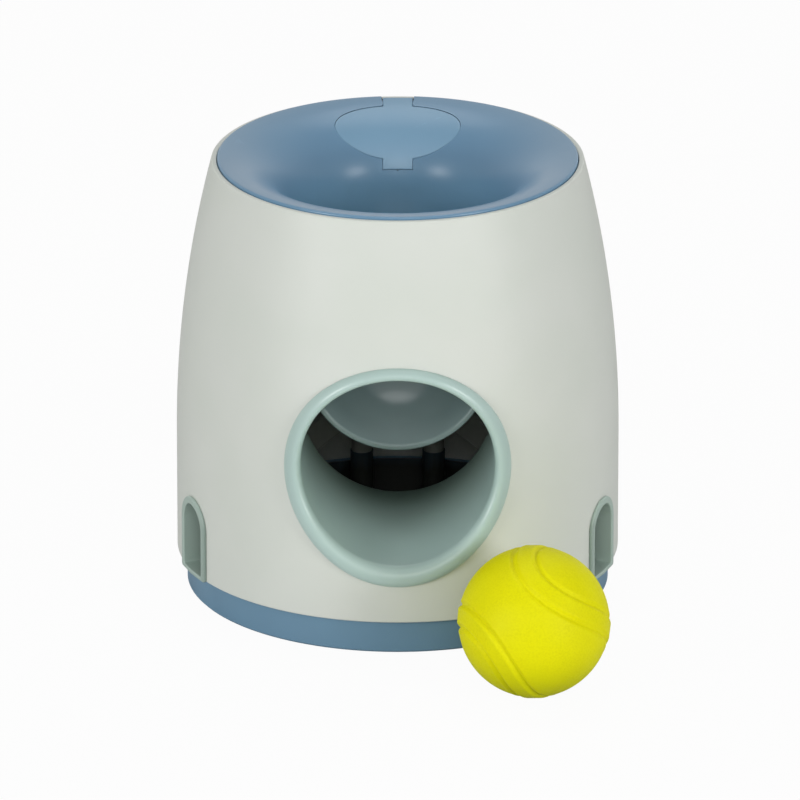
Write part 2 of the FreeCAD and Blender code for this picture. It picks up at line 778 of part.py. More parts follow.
def makeFillLid():
    body = newBody("lid_skin")
    revolve(body, [dishSkin("lid_wall", "funnel_radius - lid_gap", "tab_bottom - margin")])
    prism, upper, lower = lidPrism("lid", "lid_gap", "hinge_y + hinge_tab_reach")
    # Upright at the hinge end, so that the plate swings clear of the funnel's edge.
    upright = ellipsePrism("lid_upright", "lid_half_width", "lid_plan_half",
                           "lid_rear_y - lid_plan_half - lid_gap", "lid_centre_z", 0, "throat_radius")
    trimmed = combine("MultiCommon", "lid_trimmed", [prism, upright])
    outline = combine("MultiFuse", "lid_outline", [trimmed, upper, lower])
    plate = combine("MultiCommon", "lid_plate", [body, outline])
    barrel = cylinder("hinge_barrel", "hinge_barrel_radius", "2 * tab_half_width", "-tab_half_width",
                      "hinge_y", "hinge_height", "+X")
    solid = combine("MultiFuse", "lid_with_barrel", [plate, barrel])
    bore = cylinder("barrel_bore", "hinge_pin_radius + running_gap", "2 * (tab_half_width + margin)",
                    "-tab_half_width - margin", "hinge_y", "hinge_height", "+X")
    return combine("Cut", "fill_lid", [solid, bore])


def makeLidHingePin():
    return cylinder("lid_hinge_pin", "hinge_pin_radius", "2 * ear_outer", "-ear_outer", "hinge_y",
                    "hinge_height", "+X")


# Front tube and side exits


def shellSkin(name, near, far):
    # A zone that follows the casing's outer face, from near to far outside it.
    body = newBody(name)
    top = "(tube_front_height + ring_lip_radius + margin)"

    def reach(offset):
        return f"curve_centre + sqrt((shell_curve_radius + {offset})^2 - ({top} - shell_straight_top)^2)"

    revolve(body, [[
        (f"shell_radius + {near}", "shell_bottom"),
        (f"shell_radius + {far}", "shell_bottom"),
        Bend(f"shell_radius + {far}", "shell_straight_top", f"shell_curve_radius + {far}", 1),
        (reach(far), top),
        Bend(reach(near), top, f"shell_curve_radius + {near}", -1),
        (f"shell_radius + {near}", "shell_straight_top"),
    ]])
    return body


def slopedCylinder(name, radius):
    # Runs along the tube's axis, from in front of the casing to behind the scoop's edge.
    item = doc.addObject("Part::Cylinder", name)
    item.setExpression("Radius", bound(radius))
    item.setExpression("Height", bound("shell_radius"))
    turn = FreeCAD.Rotation(FreeCAD.Vector(1, 0, 0), number("tube_slope - 90"))
    item.Placement = FreeCAD.Placement(FreeCAD.Vector(), turn)
    ahead = "ring_lip_radius / 4"
    return place(item, "0", f"-shell_radius - {ahead}", f"tube_front_height - {ahead} * tan(tube_slope)")


def makeExitTube():
    lip = combine("MultiCommon", "tube_lip", [
        shellSkin("tube_lip_zone", "fit_gap", "ring_lip_height"),
        slopedCylinder("tube_lip_round", "ring_lip_radius"),
    ])
    zone = newBody("tube_zone")
    pad(zone, "YZ", [[
        ("-shell_radius - shell_wall", "0"),
        ("-tube_rear", "0"),
        ("-tube_rear", "tube_low_wall_top"),
        ("-tube_upper_rear", "tube_low_wall_top + tube_wall_step"),
        ("-tube_upper_rear", "throat_bottom"),
        ("-shell_radius - shell_wall", "throat_bottom"),
    ]], "-shell_radius", "shell_radius")
    inside = newBody("tube_front_limit")
    lipCurve = "shell_curve_radius + ring_lip_height / 2"
    revolve(inside, [[
        ("0", "0"),
        ("shell_radius + ring_lip_height / 2", "0"),
        Bend("shell_radius + ring_lip_height / 2", "shell_straight_top", lipCurve, 1),
        (f"curve_centre + sqrt(({lipCurve})^2 - (throat_bottom - shell_straight_top)^2)", "throat_bottom"),
        ("0", "throat_bottom"),
    ]])
    wall = combine("MultiCommon", "tube_wall_solid", [slopedCylinder("tube_round", "tube_outer"), zone, inside])
    bosses = [cylinder(f"tube_boss_{index}", "post_radius", "tube_boss_height", x, y, "tube_post_top")
              for index, (x, y) in enumerate(tubeScrews)]
    solid = combine("MultiFuse", "tube_solid", [wall, lip] + bosses)
    holes = [cylinder(f"tube_hole_{index}", "screw_hole", "hole_depth", x, y, "tube_post_top")
             for index, (x, y) in enumerate(tubeScrews)]
    bore = slopedCylinder("tube_bore", "tube_radius")
    blank = combine("Cut", "tube_blank", [solid, combine("MultiFuse", "tube_cuts", [bore] + holes)])
    doc.recompute()
    return roundLip(blank, "exit_tube")


def outsideShell(spot):
    # How far a point lies outside the casing's outer face.
    distance = math.hypot(spot.x, spot.y)
    if spot.z <= number("shell_straight_top"):
        return distance - number("shell_radius")
    rise = spot.z - number("shell_straight_top")
    return math.hypot(distance - number("curve_centre"), rise) - number("shell_curve_radius")


def roundLip(blank, label):
    # Rounds the outer and the inner edge of the lip's front face.
    slope = math.radians(number("tube_slope"))
    axis = FreeCAD.Vector(0, math.cos(slope), math.sin(slope))
    through = FreeCAD.Vector(0, -number("shell_radius"), number("tube_front_height"))
    rounding = number("ring_lip_rounding")
    tolerance = 0.1
    edges = []
    for index, edge in enumerate(blank.Shape.Edges, start=1):
        spot = edge.valueAt((edge.FirstParameter + edge.LastParameter) / 2)
        away = (spot - through).cross(axis).Length
        onRound = min(abs(away - number("ring_lip_radius")), abs(away - number("tube_radius"))) < tolerance
        onFront = abs(outsideShell(spot) - number("ring_lip_height")) < tolerance
        if onRound and onFront and spot.y < 0:
            edges.append((index, rounding, rounding))
    item = doc.addObject("Part::Fillet", label)
    item.Base = blank
    item.Edges = edges
    return item


def makeTreatExitLiner(side):
    name = f"treat_exit_liner_{side}"
    turn = exitTurns[side]

    def arch(part, grow, low, near, far):
        body = newBody(f"{name}_{part}")
        pad(body, "YZ", [archOutline(f"exit_half_width + {grow}", low, "exit_arch_height")], near, far, turn)
        return body

    front = arch("front", "liner_wall + liner_lip", "shell_bottom", "shell_radius / 2",
                 "shell_radius + ring_lip_height")
    lip = combine("MultiCommon", f"{name}_lip", [
        shellSkin(f"{name}_lip_zone", "fit_gap", "liner_lip_height"), front])
    sleeve = arch("sleeve", "liner_wall", "shell_bottom", "liner_inner_end",
                  "shell_radius + liner_lip_height / 2")
    solid = combine("MultiFuse", f"{name}_solid", [lip, sleeve])
    bore = arch("bore", "0", "shell_bottom + chute_wall", "shell_radius / 2",
                "shell_radius + ring_lip_height")
    return combine("Cut", name, [solid, bore])


# Treat ramp


def makeTreatRamp():
    half = newBody("ramp_half")
    channel = newSketch(half, "XZ", [[
        ("chute_inner - chute_wall", "chute_low - chute_wall"),
        ("chute_outer + chute_wall", "chute_low - chute_wall"),
        ("chute_outer + chute_wall", "chute_low + chute_side"),
        ("chute_outer", "chute_low + chute_side"),
        ("chute_outer", "chute_low"),
        ("chute_inner", "chute_low"),
        ("chute_inner", "chute_low + chute_side"),
        ("chute_inner - chute_wall", "chute_low + chute_side"),
    ]], turn="-chute_first_angle")
    chute, before = addFeature(half, "AdditiveHelix", channel)
    chute.ReferenceAxis = (channel, ["V_Axis"])
    chute.Mode = "height-turns-angle"
    chute.setExpression("Height", bound("chute_high - chute_low"))
    chute.setExpression("Turns", bound("(chute_first_angle + chute_last_angle) / 360"))
    settle(half, chute, before, True)
    turn = exitTurns["right"]
    near = "chute_inner - chute_wall"
    low = "chute_low - chute_wall"
    side = "exit_half_width + liner_wall"
    end = "liner_inner_end - fit_gap"
    floor = rectangle(f"-({side}) - chute_wall", low, f"{side} + chute_wall", "chute_low")
    wall = rectangle(f"-({side}) - chute_wall", low, f"-({side})", "chute_low + chute_side")
    inner = rectangle(f"-({side}) - chute_wall", low, side, "chute_low + chute_side")
    pad(half, "YZ", [floor], near, end, turn)
    pad(half, "YZ", [wall], near, end, turn)
    pad(half, "YZ", [inner], near, "chute_inner", turn)
    mirror = doc.addObject("Part::Mirroring", "ramp_mirror")
    mirror.Source = half
    mirror.Normal = FreeCAD.Vector(1, 0, 0)
    roof = newBody("ramp_roof")
    pad(roof, "XZ", [[
        ("-roof_reach", "roof_eaves"),
        ("0", "roof_ridge - roof_wall"),
        ("roof_reach", "roof_eaves"),
        ("roof_reach", "chute_high - fit_gap"),
        ("0", "roof_ridge"),
        ("-roof_reach", "chute_high - fit_gap"),
    ]], "chute_inner - margin", "chute_outer")
    ends = (("chute_inner - chute_wall - margin", "roof_reach"), ("chute_outer", "roof_rear_share * roof_reach"))
    for start, width in ends:
        wall = rectangle(f"-({width})", "roof_eaves", width, "roof_ridge + margin")
        pad(roof, "XZ", [wall], start, f"{start} + chute_wall")
    bosses = circles(rampScrews, "ramp_boss_radius")
    pad(roof, "XY", bosses, "ramp_post_top", "ramp_boss_top")
    pocket(roof, "XY", circles(rampScrews, "screw_hole"), "ramp_post_top - margin",
           "ramp_post_top + hole_depth")
    return combine("MultiFuse", "treat_ramp", [half, mirror, roof])


# Frame plates

sides = {"left": -1, "right": 1}


def across(side, near, far):
    # Distances from the middle plane, turned to the left or the right side.
    return (near, far) if side > 0 else (f"-({far})", f"-({near})")


def makeFramePlate(name):
    side = sides[name]
    label = f"frame_{name}"
    body = newBody(label)
    inner, outer = across(side, "plate_inner", "plate_outer")
    outline = [
        ("-plate_front", "foot_pad_top"),
        ("plate_step", "foot_pad_top"),
        ("plate_step", "plate_waist"),
        ("plate_rear", "plate_waist"),
        ("plate_rear", "plate_shoulder"),
        ("plate_top_rear", "plate_top"),
        ("throat_outer", "plate_top"),
        ("-plate_front", "plate_front_height"),
    ]
    bores = [Circle("pivot_y", "pivot_height", "bush_outer + press_play"),
             Circle("drum_y", "pivot_height", "drum_bush_outer + press_play")]
    bores += [Circle(y, z, "screw_hole") for y, z in hopperScrews]
    pad(body, "YZ", [outline] + bores, inner, outer)
    near, far = across(side, "plate_inner - foot_width", "plate_inner + lap")
    pad(body, "XY", [rectangle(near, "-plate_front", far, "plate_step")], "foot_pad_top",
        "foot_pad_top + foot_height")
    holes = [spot for spot in footScrews if (number(spot[0]) > 0) == (side > 0)]
    pocket(body, "XY", circles(holes, "screw_hole"), "foot_pad_top - margin", "foot_pad_top + hole_depth")
    if name == "left":
        near, far = across(side, "plate_inner + lap", "gear_end - lap")
        front = "stop_y - stop_half"
        rear = "stop_y + stop_half"
        for low, high in (("stop_low - stop_pad - stop_block", "stop_low - stop_pad"),
                          ("stop_high + stop_pad", "stop_high + stop_pad + stop_block")):
            pad(body, "XY", [rectangle(near, front, far, rear)], low, high)
    return body


def makeScoopBumpers():
    near, far = across(-1, "gear_start + fit_gap", "gear_end - lap")
    front = "stop_y - stop_half"
    rear = "stop_y + stop_half"
    pads = [box("bumper_low", (near, front, "stop_low - stop_pad"), (far, rear, "stop_low")),
            box("bumper_high", (near, front, "stop_high"), (far, rear, "stop_high + stop_pad"))]
    return combine("Compound", "scoop_bumpers", pads)


def bush(name, side, y, bore, outer):
    # A flanged bush: the flange bears on the inner face of its plate.
    direction = "+X" if side > 0 else "-X"
    start = f"{side} * (plate_inner - bush_flange)"
    sleeve = cylinder(f"{name}_sleeve", outer, "plate_wall + bush_flange", start, y, "pivot_height", direction)
    flange = cylinder(f"{name}_flange", f"{outer} + bush_flange_reach", "bush_flange", start, y, "pivot_height",
                      direction)
    hole = cylinder(f"{name}_hole", bore, "plate_wall + bush_flange + 2 * margin",
                    f"{side} * (plate_inner - bush_flange - margin)", y, "pivot_height", direction)
    return combine("Cut", name, [combine("MultiFuse", f"{name}_solid", [sleeve, flange]), hole])


def makeBushes(label, y, bore, outer):
    pair = [bush(f"{label}_{name}", side, y, bore, outer) for name, side in sides.items()]
    return combine("Compound", label, pair)


# Scoop


def makeScoop():
    length = "scoop_front + margin"
    outer = [cylinder("scoop_trough", "scoop_outer", length, "0", f"-({length})", "scoop_axis_height", "+Y"),
             sphere("scoop_end", "scoop_outer", "0", "0", "scoop_axis_height")]
    hollow = [cylinder("scoop_trough_hollow", "scoop_radius", f"{length} + margin", "0",
                       f"-({length}) - margin", "scoop_axis_height", "+Y"),
              sphere("scoop_end_hollow", "scoop_radius", "0", "0", "scoop_axis_height")]
    inside = combine("MultiFuse", "scoop_hollow", hollow)
    shell = combine("Cut", "scoop_shell", [combine("MultiFuse", "scoop_outside", outer), inside])
    zone = newBody("scoop_zone")
    pad(zone, "YZ", [[
        ("-scoop_front", "scoop_axis_height - 2 * scoop_radius"),
        ("scoop_outer + margin", "scoop_axis_height - 2 * scoop_radius"),
        ("scoop_outer + margin", "scoop_back_height"),
        ("-scoop_front", "scoop_front_height"),
    ]], "-2 * scoop_radius", "2 * scoop_radius")
    spoon = combine("MultiCommon", "scoop_spoon", [shell, zone])
    pieces = []
    holes = []
    for side in sides.values():
        direction = "+X" if side > 0 else "-X"
        start = f"{side} * scoop_radius / 2"
        spot = ("pivot_y", "pivot_height", direction)
        boss = cylinder("scoop_boss", "trunnion_boss_radius", "boss_end - scoop_radius / 2", start, *spot)
        shaft = cylinder("scoop_trunnion", "trunnion_radius", "trunnion_end - scoop_radius / 2", start, *spot)
        pivot = combine("MultiFuse", "scoop_pivot_solid", [boss, shaft])
        pieces.append(combine("Cut", "scoop_pivot", [pivot, inside]))
        holes.append(cylinder("scoop_screw_hole", "screw_hole", "hole_depth + margin",
                              f"{side} * (trunnion_end - hole_depth)", *spot))
    solid = combine("MultiFuse", "scoop_solid", [spoon] + pieces)
    return combine("Cut", "scoop", [solid, combine("MultiFuse", "scoop_holes", holes)])


# Gears


def involute(angle):
    return math.tan(angle) - angle


def toothPoints(teeth, addendum, dedendum, centre):
    # One tooth of an involute gear about the origin, its middle at the angle centre, root to root.
    module = number("gear_module")
    pressure = math.radians(number("pressure_angle"))
    pitch = module * teeth / 2
    base = pitch * math.cos(pressure)
    half = math.pi / (2 * teeth) - number("gear_backlash") / (2 * pitch)
    steps = 8  # straight pieces of one flank
    flank = []
    for step in range(steps + 1):
        radius = pitch - dedendum + (addendum + dedendum) * step / steps
        shown = max(radius, base)
        width = half + involute(pressure) - involute(math.acos(base / shown))
        flank.append((radius, width))
    points = [(radius, centre - width) for radius, width in flank]
    points += [(radius, centre + width) for radius, width in reversed(flank)]
    return [FreeCAD.Vector(0, radius * math.cos(angle), radius * math.sin(angle)) for radius, angle in points]


def discSolid(points, width):
    wire = Part.makePolygon(points + [points[0]])
    return Part.Face(wire).extrude(FreeCAD.Vector(width, 0, 0))


def discAt(radius, start, end):
    return Part.makeCylinder(radius, end - start, FreeCAD.Vector(start, 0, 0), FreeCAD.Vector(1, 0, 0))


def shapeNode(label, shape, y, z):
    item = doc.addObject("Part::Feature", label)
    item.Label = label
    item.Shape = shape
    return place(item, "0", y, z)


def makeGearSector():
    teeth = number("sector_teeth")
    step = 2 * math.pi / teeth
    start = number("gear_start")
    end = number("gear_end")
    lowest = -int(math.radians(number("sector_low_angle")) / step)
    highest = int(math.radians(number("sector_high_angle")) / step)
    points = [FreeCAD.Vector(0, 0, 0)]
    for index in range(lowest, highest + 1):
        points += toothPoints(teeth, number("sector_addendum"), number("sector_dedendum"), index * step)
    toothed = discSolid([point + FreeCAD.Vector(start, 0, 0) for point in points], end - start)
    hub = discAt(number("hub_radius"), number("plate_outer + hub_play"), end)
    bore = discAt(number("trunnion_radius + press_play"), 0, end + number("margin"))
    window = discAt(number("window_radius"), 0, end + number("margin"))
    angle = (lowest + highest) * step / 2
    reach = number("window_reach")
    window.translate(FreeCAD.Vector(0, reach * math.cos(angle), reach * math.sin(angle)))
    shape = toothed.fuse(hub).cut(bore).cut(window)
    return shapeNode("gear_sector", shape.removeSplitter(), "pivot_y", "pivot_height")


def makeDrumPinion():
    teeth = int(number("pinion_teeth"))
    step = 2 * math.pi / teeth
    start = number("gear_start")
    end = number("gear_end")
    points = []
    for index in range(teeth):
        # A gap of the pinion faces the sector at rest.
        points += toothPoints(teeth, number("pinion_addendum"), number("pinion_dedendum"),
                              math.pi + (index + 0.5) * step)
    toothed = discSolid([point + FreeCAD.Vector(start, 0, 0) for point in points], end - start)
    shape = toothed.cut(discAt(number("drum_axle_radius + press_play"), 0, end + number("margin")))
    return shapeNode("drum_pinion", shape.removeSplitter(), "drum_y", "pivot_height")


# Counterweight


def makeCounterweightArm():
    outer = "-gear_end"
    hub = cylinder("arm_hub", "hub_radius", "gear_end - plate_outer - hub_play", outer, "pivot_y",
                   "pivot_height", "+X")
    end = cylinder("arm_end", "arm_end_radius", "gear_width", outer, "weight_y", "weight_z", "+X")
    bar = doc.addObject("Part::Box", "arm_bar")
    bar.setExpression("Length", bound("gear_width"))
    bar.setExpression("Width", bound("arm_length"))
    bar.setExpression("Height", bound("2 * arm_half_width"))
    turn = FreeCAD.Rotation(FreeCAD.Vector(1, 0, 0), -number("arm_angle"))
    bar.Placement = FreeCAD.Placement(FreeCAD.Vector(), turn)
    place(bar, outer, "pivot_y - arm_half_width * sin(arm_angle)",
          "pivot_height - arm_half_width * cos(arm_angle)")
    bore = cylinder("arm_bore", "trunnion_radius + press_play", "gear_end - plate_inner", f"{outer} - margin",
                    "pivot_y", "pivot_height", "+X")
    hole = cylinder("arm_screw_hole", "screw_hole", "gear_width + 2 * margin", f"{outer} - margin", "weight_y",
                    "weight_z", "+X")
    solid = combine("MultiFuse", "arm_solid", [hub, end, bar])
    return combine("Cut", "counterweight_arm", [solid, combine("MultiFuse", "arm_holes", [bore, hole])])


def makeCounterweight():
    start = "-(gear_end + weight_length)"
    block = cylinder("weight_block", "weight_radius", "weight_length", start, "weight_y", "weight_z", "+X")
    edges = doc.addObject("Part::Chamfer", "weight_chamfer")
    doc.recompute()
    edges.Base = block
    size = number("weight_edge")
    edges.Edges = [(index, size, size) for index, edge in enumerate(block.Shape.Edges, start=1)
                   if isinstance(edge.Curve, Part.Circle)]
    hole = cylinder("weight_hole", "screw_hole", "weight_length + 2 * margin", f"{start} - margin",
                    "weight_y", "weight_z", "+X")
    return combine("Cut", "counterweight", [edges, hole])


# Metering drum and hopper


def makeMeteringDrum():
    body = newBody("metering_drum")
    body.setExpression("Placement.Base.y", bound("drum_y"))
    body.setExpression("Placement.Base.z", bound("pivot_height"))
    pad(body, "YZ", [Circle("0", "0", "drum_radius"), Circle("0", "0", "drum_axle_radius + press_play")],
        "-drum_half_length", "drum_half_length")
    cell = Circle("0", "drum_radius", "pocket_radius")
    cut = pocket(body, "YZ", [cell], "-drum_half_length + pocket_end", "drum_half_length - pocket_end")
    polar(body, cut, 3)
    return body


def makeDrumAxle():
    left = "(plate_outer + clip_width + axle_overhang)"
    right = "(gear_end + clip_width + axle_overhang)"
    return cylinder("drum_axle", "drum_axle_radius", f"{left} + {right}", f"-{left}", "drum_y",
                    "pivot_height", "+X")


def makeAxleClips():
    clips = []
    starts = ("-(plate_outer + clip_width + clip_play)", "gear_end + end_play")
    for index, start in enumerate(starts):
        disc = cylinder(f"clip_{index}", "clip_radius", "clip_width", start, "drum_y", "pivot_height", "+X")
        hole = cylinder(f"clip_hole_{index}", "drum_axle_radius + press_play", "clip_width + 2 * margin",
                        f"{start} - margin", "drum_y", "pivot_height", "+X")
        clips.append(combine("Cut", f"clip_ring_{index}", [disc, hole]))
    return combine("Compound", "drum_axle_clips", clips)


def hopperSpace(name, inset):
    # The hopper fits between the plates, round the throat, with a floor that slopes to the neck.
    half = f"hopper_half_width - {inset}"
    mouth = f"neck_half - {inset}"
    top = f"hopper_top + 2 * {inset}"
    body = newBody(name)
    pad(body, "XZ", [[
        (f"-({mouth})", "neck_top - neck_lap"),
        (mouth, "neck_top - neck_lap"),
        (mouth, f"neck_top + {inset}"),
        (half, f"hopper_slope_top + {inset}"),
        (half, top),
        (f"-({half})", top),
        (f"-({half})", f"hopper_slope_top + {inset}"),
        (f"-({mouth})", f"neck_top + {inset}"),
    ]], f"hopper_front + {inset}", "hopper_outer_radius + margin")
    outer = cylinder(f"{name}_outer", f"hopper_outer_radius - {inset}", "hopper_top", z="hopper_top / 2")
    inner = cylinder(f"{name}_inner", f"hopper_inner_radius + {inset}", "hopper_top", z="hopper_top / 2")
    return combine("Cut", name + "_solid", [combine("MultiCommon", name + "_block", [body, outer]), inner])


def makeHopper():
    wall = "hopper_wall"
    reach = "(drum_radius + neck_play)"
    neck = box("neck_block", ("-neck_half", f"drum_y - {reach} - {wall}", "neck_bottom"),
               ("neck_half", f"drum_y + {reach} + {wall}", f"neck_top + {wall}"))
    cuts = [hopperSpace("hopper_cavity", wall)]
    cuts.append(box("neck_cavity", (f"-neck_half + {wall}", f"drum_y - {reach}", "neck_bottom - margin"),
                    (f"neck_half - {wall}", f"drum_y + {reach}", "neck_top")))
    room = "(drum_axle_radius + axle_room)"
    cuts.append(box("neck_axle_gap", ("-neck_half - margin", f"drum_y - {room}", "neck_bottom - margin"),
                    ("neck_half + margin", f"drum_y + {room}", f"pivot_height + {room}")))
    bosses = []
    for name, side in sides.items():
        direction = "+X" if side > 0 else "-X"
        for index, (y, z) in enumerate(hopperScrews):
            start = f"{side} * (hopper_half_width - hopper_bite - tip_room)"
            bosses.append(cylinder(f"hopper_boss_{name}_{index}", "hopper_post_radius",
                                   "hopper_bite + tip_room", start, y, z, direction))
    walls = combine("Cut", "hopper_open", [
        combine("MultiFuse", "hopper_solid", [hopperSpace("hopper_outside", "0"), neck]),
        combine("MultiFuse", "hopper_cuts", cuts)])
    solid = combine("MultiFuse", "hopper_walls", [walls] + bosses)
    holes = []
    for name, side in sides.items():
        direction = "-X" if side > 0 else "+X"
        for index, (y, z) in enumerate(hopperScrews):
            holes.append(cylinder(f"hopper_hole_{name}_{index}", "screw_hole", "hopper_bite + fit_gap",
                                  f"{side} * (hopper_half_width + fit_gap)", y, z, direction))
    return combine("Cut", "hopper", [solid, combine("MultiFuse", "hopper_screw_holes", holes)])


# Ball

# Each raised band lies round an axis through the ball, given by its heading and its rise.
bandAxes = [(-5, 54), (-155, -32)]


def makeBall():
    spot = ("ball_x", "ball_y", "ball_radius")
    ball = sphere("ball_round", "ball_radius", *spot)
    grooves = []
    for heading, rise in bandAxes:
        axis = FreeCAD.Vector(math.cos(math.radians(rise)) * math.cos(math.radians(heading)),
                              math.cos(math.radians(rise)) * math.sin(math.radians(heading)),
                              math.sin(math.radians(rise)))
        for share in ("band_near", "band_far"):
            torus = doc.addObject("Part::Torus", "ball_groove")
            torus.setExpression("Radius1", bound(f"ball_radius * sqrt(1 - {share}^2)"))
            torus.setExpression("Radius2", bound("ball_groove_radius"))
            turn = FreeCAD.Rotation(FreeCAD.Vector(0, 0, 1), axis)
            torus.Placement = FreeCAD.Placement(FreeCAD.Vector(), turn)
            place(torus, *[f"{base} + ball_radius * {share} * {part:.4f}" for base, part in zip(spot, axis)])
            grooves.append(torus)
    return combine("Cut", "ball", [ball, combine("MultiFuse", "ball_grooves", grooves)])


# All sub-parts, each written to its own file


def makeScrews():
    seat = "- screw_seat - screw_head_height"
    lugFoot = "funnel_lug_top - funnel_lug_height - screw_head_height"
    faces = [(f"{side} * (plate_outer + screw_head_height)", y, z)
             for side in sides.values() for y, z in hopperScrews]
    plain = "screw_length"
    groups = [
        screws("base_screws", [(x, y, f"base_rim_top {seat}") for x, y in shellScrews], "+Z", plain),
        screws("frame_screws", [(x, y, f"foot_pad_top {seat}") for x, y in footScrews], "+Z", plain),
        screws("tube_screws", [(x, y, f"tube_post_top {seat}") for x, y in tubeScrews], "+Z", plain),
        screws("ramp_screws", [(x, y, f"ramp_post_top {seat}") for x, y in rampScrews], "+Z", plain),
        screws("funnel_screws", [(x, y, lugFoot) for x, y in funnelScrews], "+Z",
               "funnel_lug_height + funnel_bite"),
    ]
    sided = [screws(f"hopper_screws_{direction}", spots, direction, "plate_wall + hopper_bite - fit_gap")
             for direction, spots in (("+X", faces[:2]), ("-X", faces[2:]))]
    groups.append(combine("Compound", "hopper_screws", sided))
    return groups


def makeTrunnionScrews():
    pieces = []
    for name, side in sides.items():
        direction = "-X" if side > 0 else "+X"
        start = f"{side} * (gear_end + screw_head_height + press_play)"
        spot = (start, "pivot_y", "pivot_height", direction)
        head = cylinder(f"trunnion_screw_head_{name}", "trunnion_head_radius", "screw_head_height", *spot)
        shank = cylinder(f"trunnion_screw_shank_{name}", "screw_radius", "screw_head_height + screw_bite",
                         *spot)
        pieces.append(combine("MultiFuse", f"trunnion_screw_{name}", [head, shank]))
    return combine("Compound", "trunnion_screws", pieces)


def makeCounterweightScrew():
    start = "-(gear_end + weight_length + screw_head_height)"
    return screws("counterweight_screw", [(start, "weight_y", "weight_z")], "+X",
                  "weight_length + gear_width - margin")


nodes = [
    makeOuterShell(),
    makeBasePlate(),
    makeAntiSlipRing(),
    makeFunnel(),
    makeFillLid(),
    makeLidHingePin(),
    makeExitTube(),
    makeTreatExitLiner("left"),
    makeTreatExitLiner("right"),
    makeTreatRamp(),
    makeFramePlate("left"),
    makeFramePlate("right"),
    makeScoopBumpers(),
    makeBushes("scoop_bushes", "pivot_y", "bush_radius", "bush_outer"),
    makeBushes("drum_bushes", "drum_y", "drum_bush_bore", "drum_bush_outer"),
    makeScoop(),
    makeGearSector(),
    makeCounterweightArm(),
    makeCounterweight(),
    makeCounterweightScrew(),
    makeTrunnionScrews(),
    makeHopper(),
    makeMeteringDrum(),
    makeDrumAxle(),
    makeDrumPinion(),
    makeAxleClips(),
    makeBall(),
] + makeScrews()
doc.recompute()

for item in doc.Objects:
    if "Invalid" in item.State or "Error" in item.State:
        raise RuntimeError(f"{item.Label} could not be computed")
for node in nodes:
    if node.Shape.isNull() or not node.Shape.isValid():
        raise RuntimeError(f"{node.Label} has no valid shape")
os.makedirs("parts", exist_ok=True)
for node in nodes:
    node.Shape.exportStep(f"parts/{node.Label}.step")
    print(f"{node.Label}: {len(node.Shape.Solids)} solid, {node.Shape.Volume:.0f} mm3")
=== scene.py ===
import math

import bmesh
import bpy
import numpy as np
from mathutils import Matrix, Vector


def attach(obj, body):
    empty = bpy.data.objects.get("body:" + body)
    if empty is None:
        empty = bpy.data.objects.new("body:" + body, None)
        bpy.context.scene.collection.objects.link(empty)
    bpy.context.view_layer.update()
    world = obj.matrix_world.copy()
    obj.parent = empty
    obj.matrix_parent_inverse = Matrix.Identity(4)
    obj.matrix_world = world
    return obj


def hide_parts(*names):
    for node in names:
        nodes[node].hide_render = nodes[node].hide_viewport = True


# A dog's puzzle toy: a ball dropped in the funnel tips a scoop, rolls out of the
# front tube and lets treats fall to the two side exits.
# Lengths in the dictionaries are millimetres, angles are degrees, and colours are
# written 0 to 255 as a colour picker shows them.

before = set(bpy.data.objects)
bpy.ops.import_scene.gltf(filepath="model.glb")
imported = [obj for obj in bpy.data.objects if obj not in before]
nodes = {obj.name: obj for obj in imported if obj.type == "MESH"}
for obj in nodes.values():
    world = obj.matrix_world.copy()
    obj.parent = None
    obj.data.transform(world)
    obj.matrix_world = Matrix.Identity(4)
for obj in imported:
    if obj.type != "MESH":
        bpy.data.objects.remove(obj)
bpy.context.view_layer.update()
mm = 0.001


# Shader helpers


def pickerColour(red, green, blue):
    # Colour picker values turned into the linear ones that the shaders take.
    parts = []
    for value in (red / 255, green / 255, blue / 255):
        parts.append(value / 12.92 if value <= 0.04045 else ((value + 0.055) / 1.055) ** 2.4)
    return (*parts, 1)


def fillInputs(tree, node, inputs):
    # Each input is a constant, or the output of another node to link from.
    for name, value in inputs.items():
        if isinstance(value, bpy.types.NodeSocket):
            tree.links.new(value, node.inputs[name])
        else:
            node.inputs[name].default_value = value


def addNode(tree, kind, inputs=None, **values):
    node = tree.nodes.new("ShaderNode" + kind)
    for name, value in values.items():
        setattr(node, name, value)
    fillInputs(tree, node, inputs or {})
    return node


def combine(tree, operation, first, second):
    return addNode(tree, "Math", {0: first, 1: second}, operation=operation).outputs[0]


def mixOnto(tree, output, share, first, second):
    mix = addNode(tree, "MixShader", {0: share, 1: first.outputs[0], 2: second.outputs[0]})
    addNode(tree, output, {"Surface": mix.outputs[0]})


def bareTree(owner):
    owner.use_nodes = True
    owner.node_tree.nodes.clear()
    return owner.node_tree


# Camera, floor and light

photoView = {
    "lens": 585,
    "sensor": 36,
    "distance": 5000,
    "elevation": 20.8,
    "aim": (0.88, 0, 72.6),
    "farEnd": 100000,
}

studio = {
    "white": (1, 1, 1, 1),
    "floorSize": 6000,
    "floorColour": (222, 222, 222),
    "floorGlow": 0.96,
    "worldLight": 0.26,
    "lampAim": (0, 0, 80),
    "lamps": {
        "left": {"spot": (-1600, -1560, 560), "size": 760, "power": 18},
        "right": {"spot": (1600, -1560, 560), "size": 760, "power": 18},
        "front": {"spot": (0, -2100, 1150), "size": 900, "power": 6.5},
        "top": {"spot": (0, 560, 1620), "size": 1200, "power": 7},
    },
}


def aimAt(thing, spot, target):
    thing.location = Vector(spot) * mm
    facing = Vector(target) * mm - thing.location
    thing.rotation_euler = facing.to_track_quat("-Z", "Y").to_euler()


def placeObject(name, data):
    item = bpy.data.objects.new(name, data)
    bpy.context.scene.collection.objects.link(item)
    return item


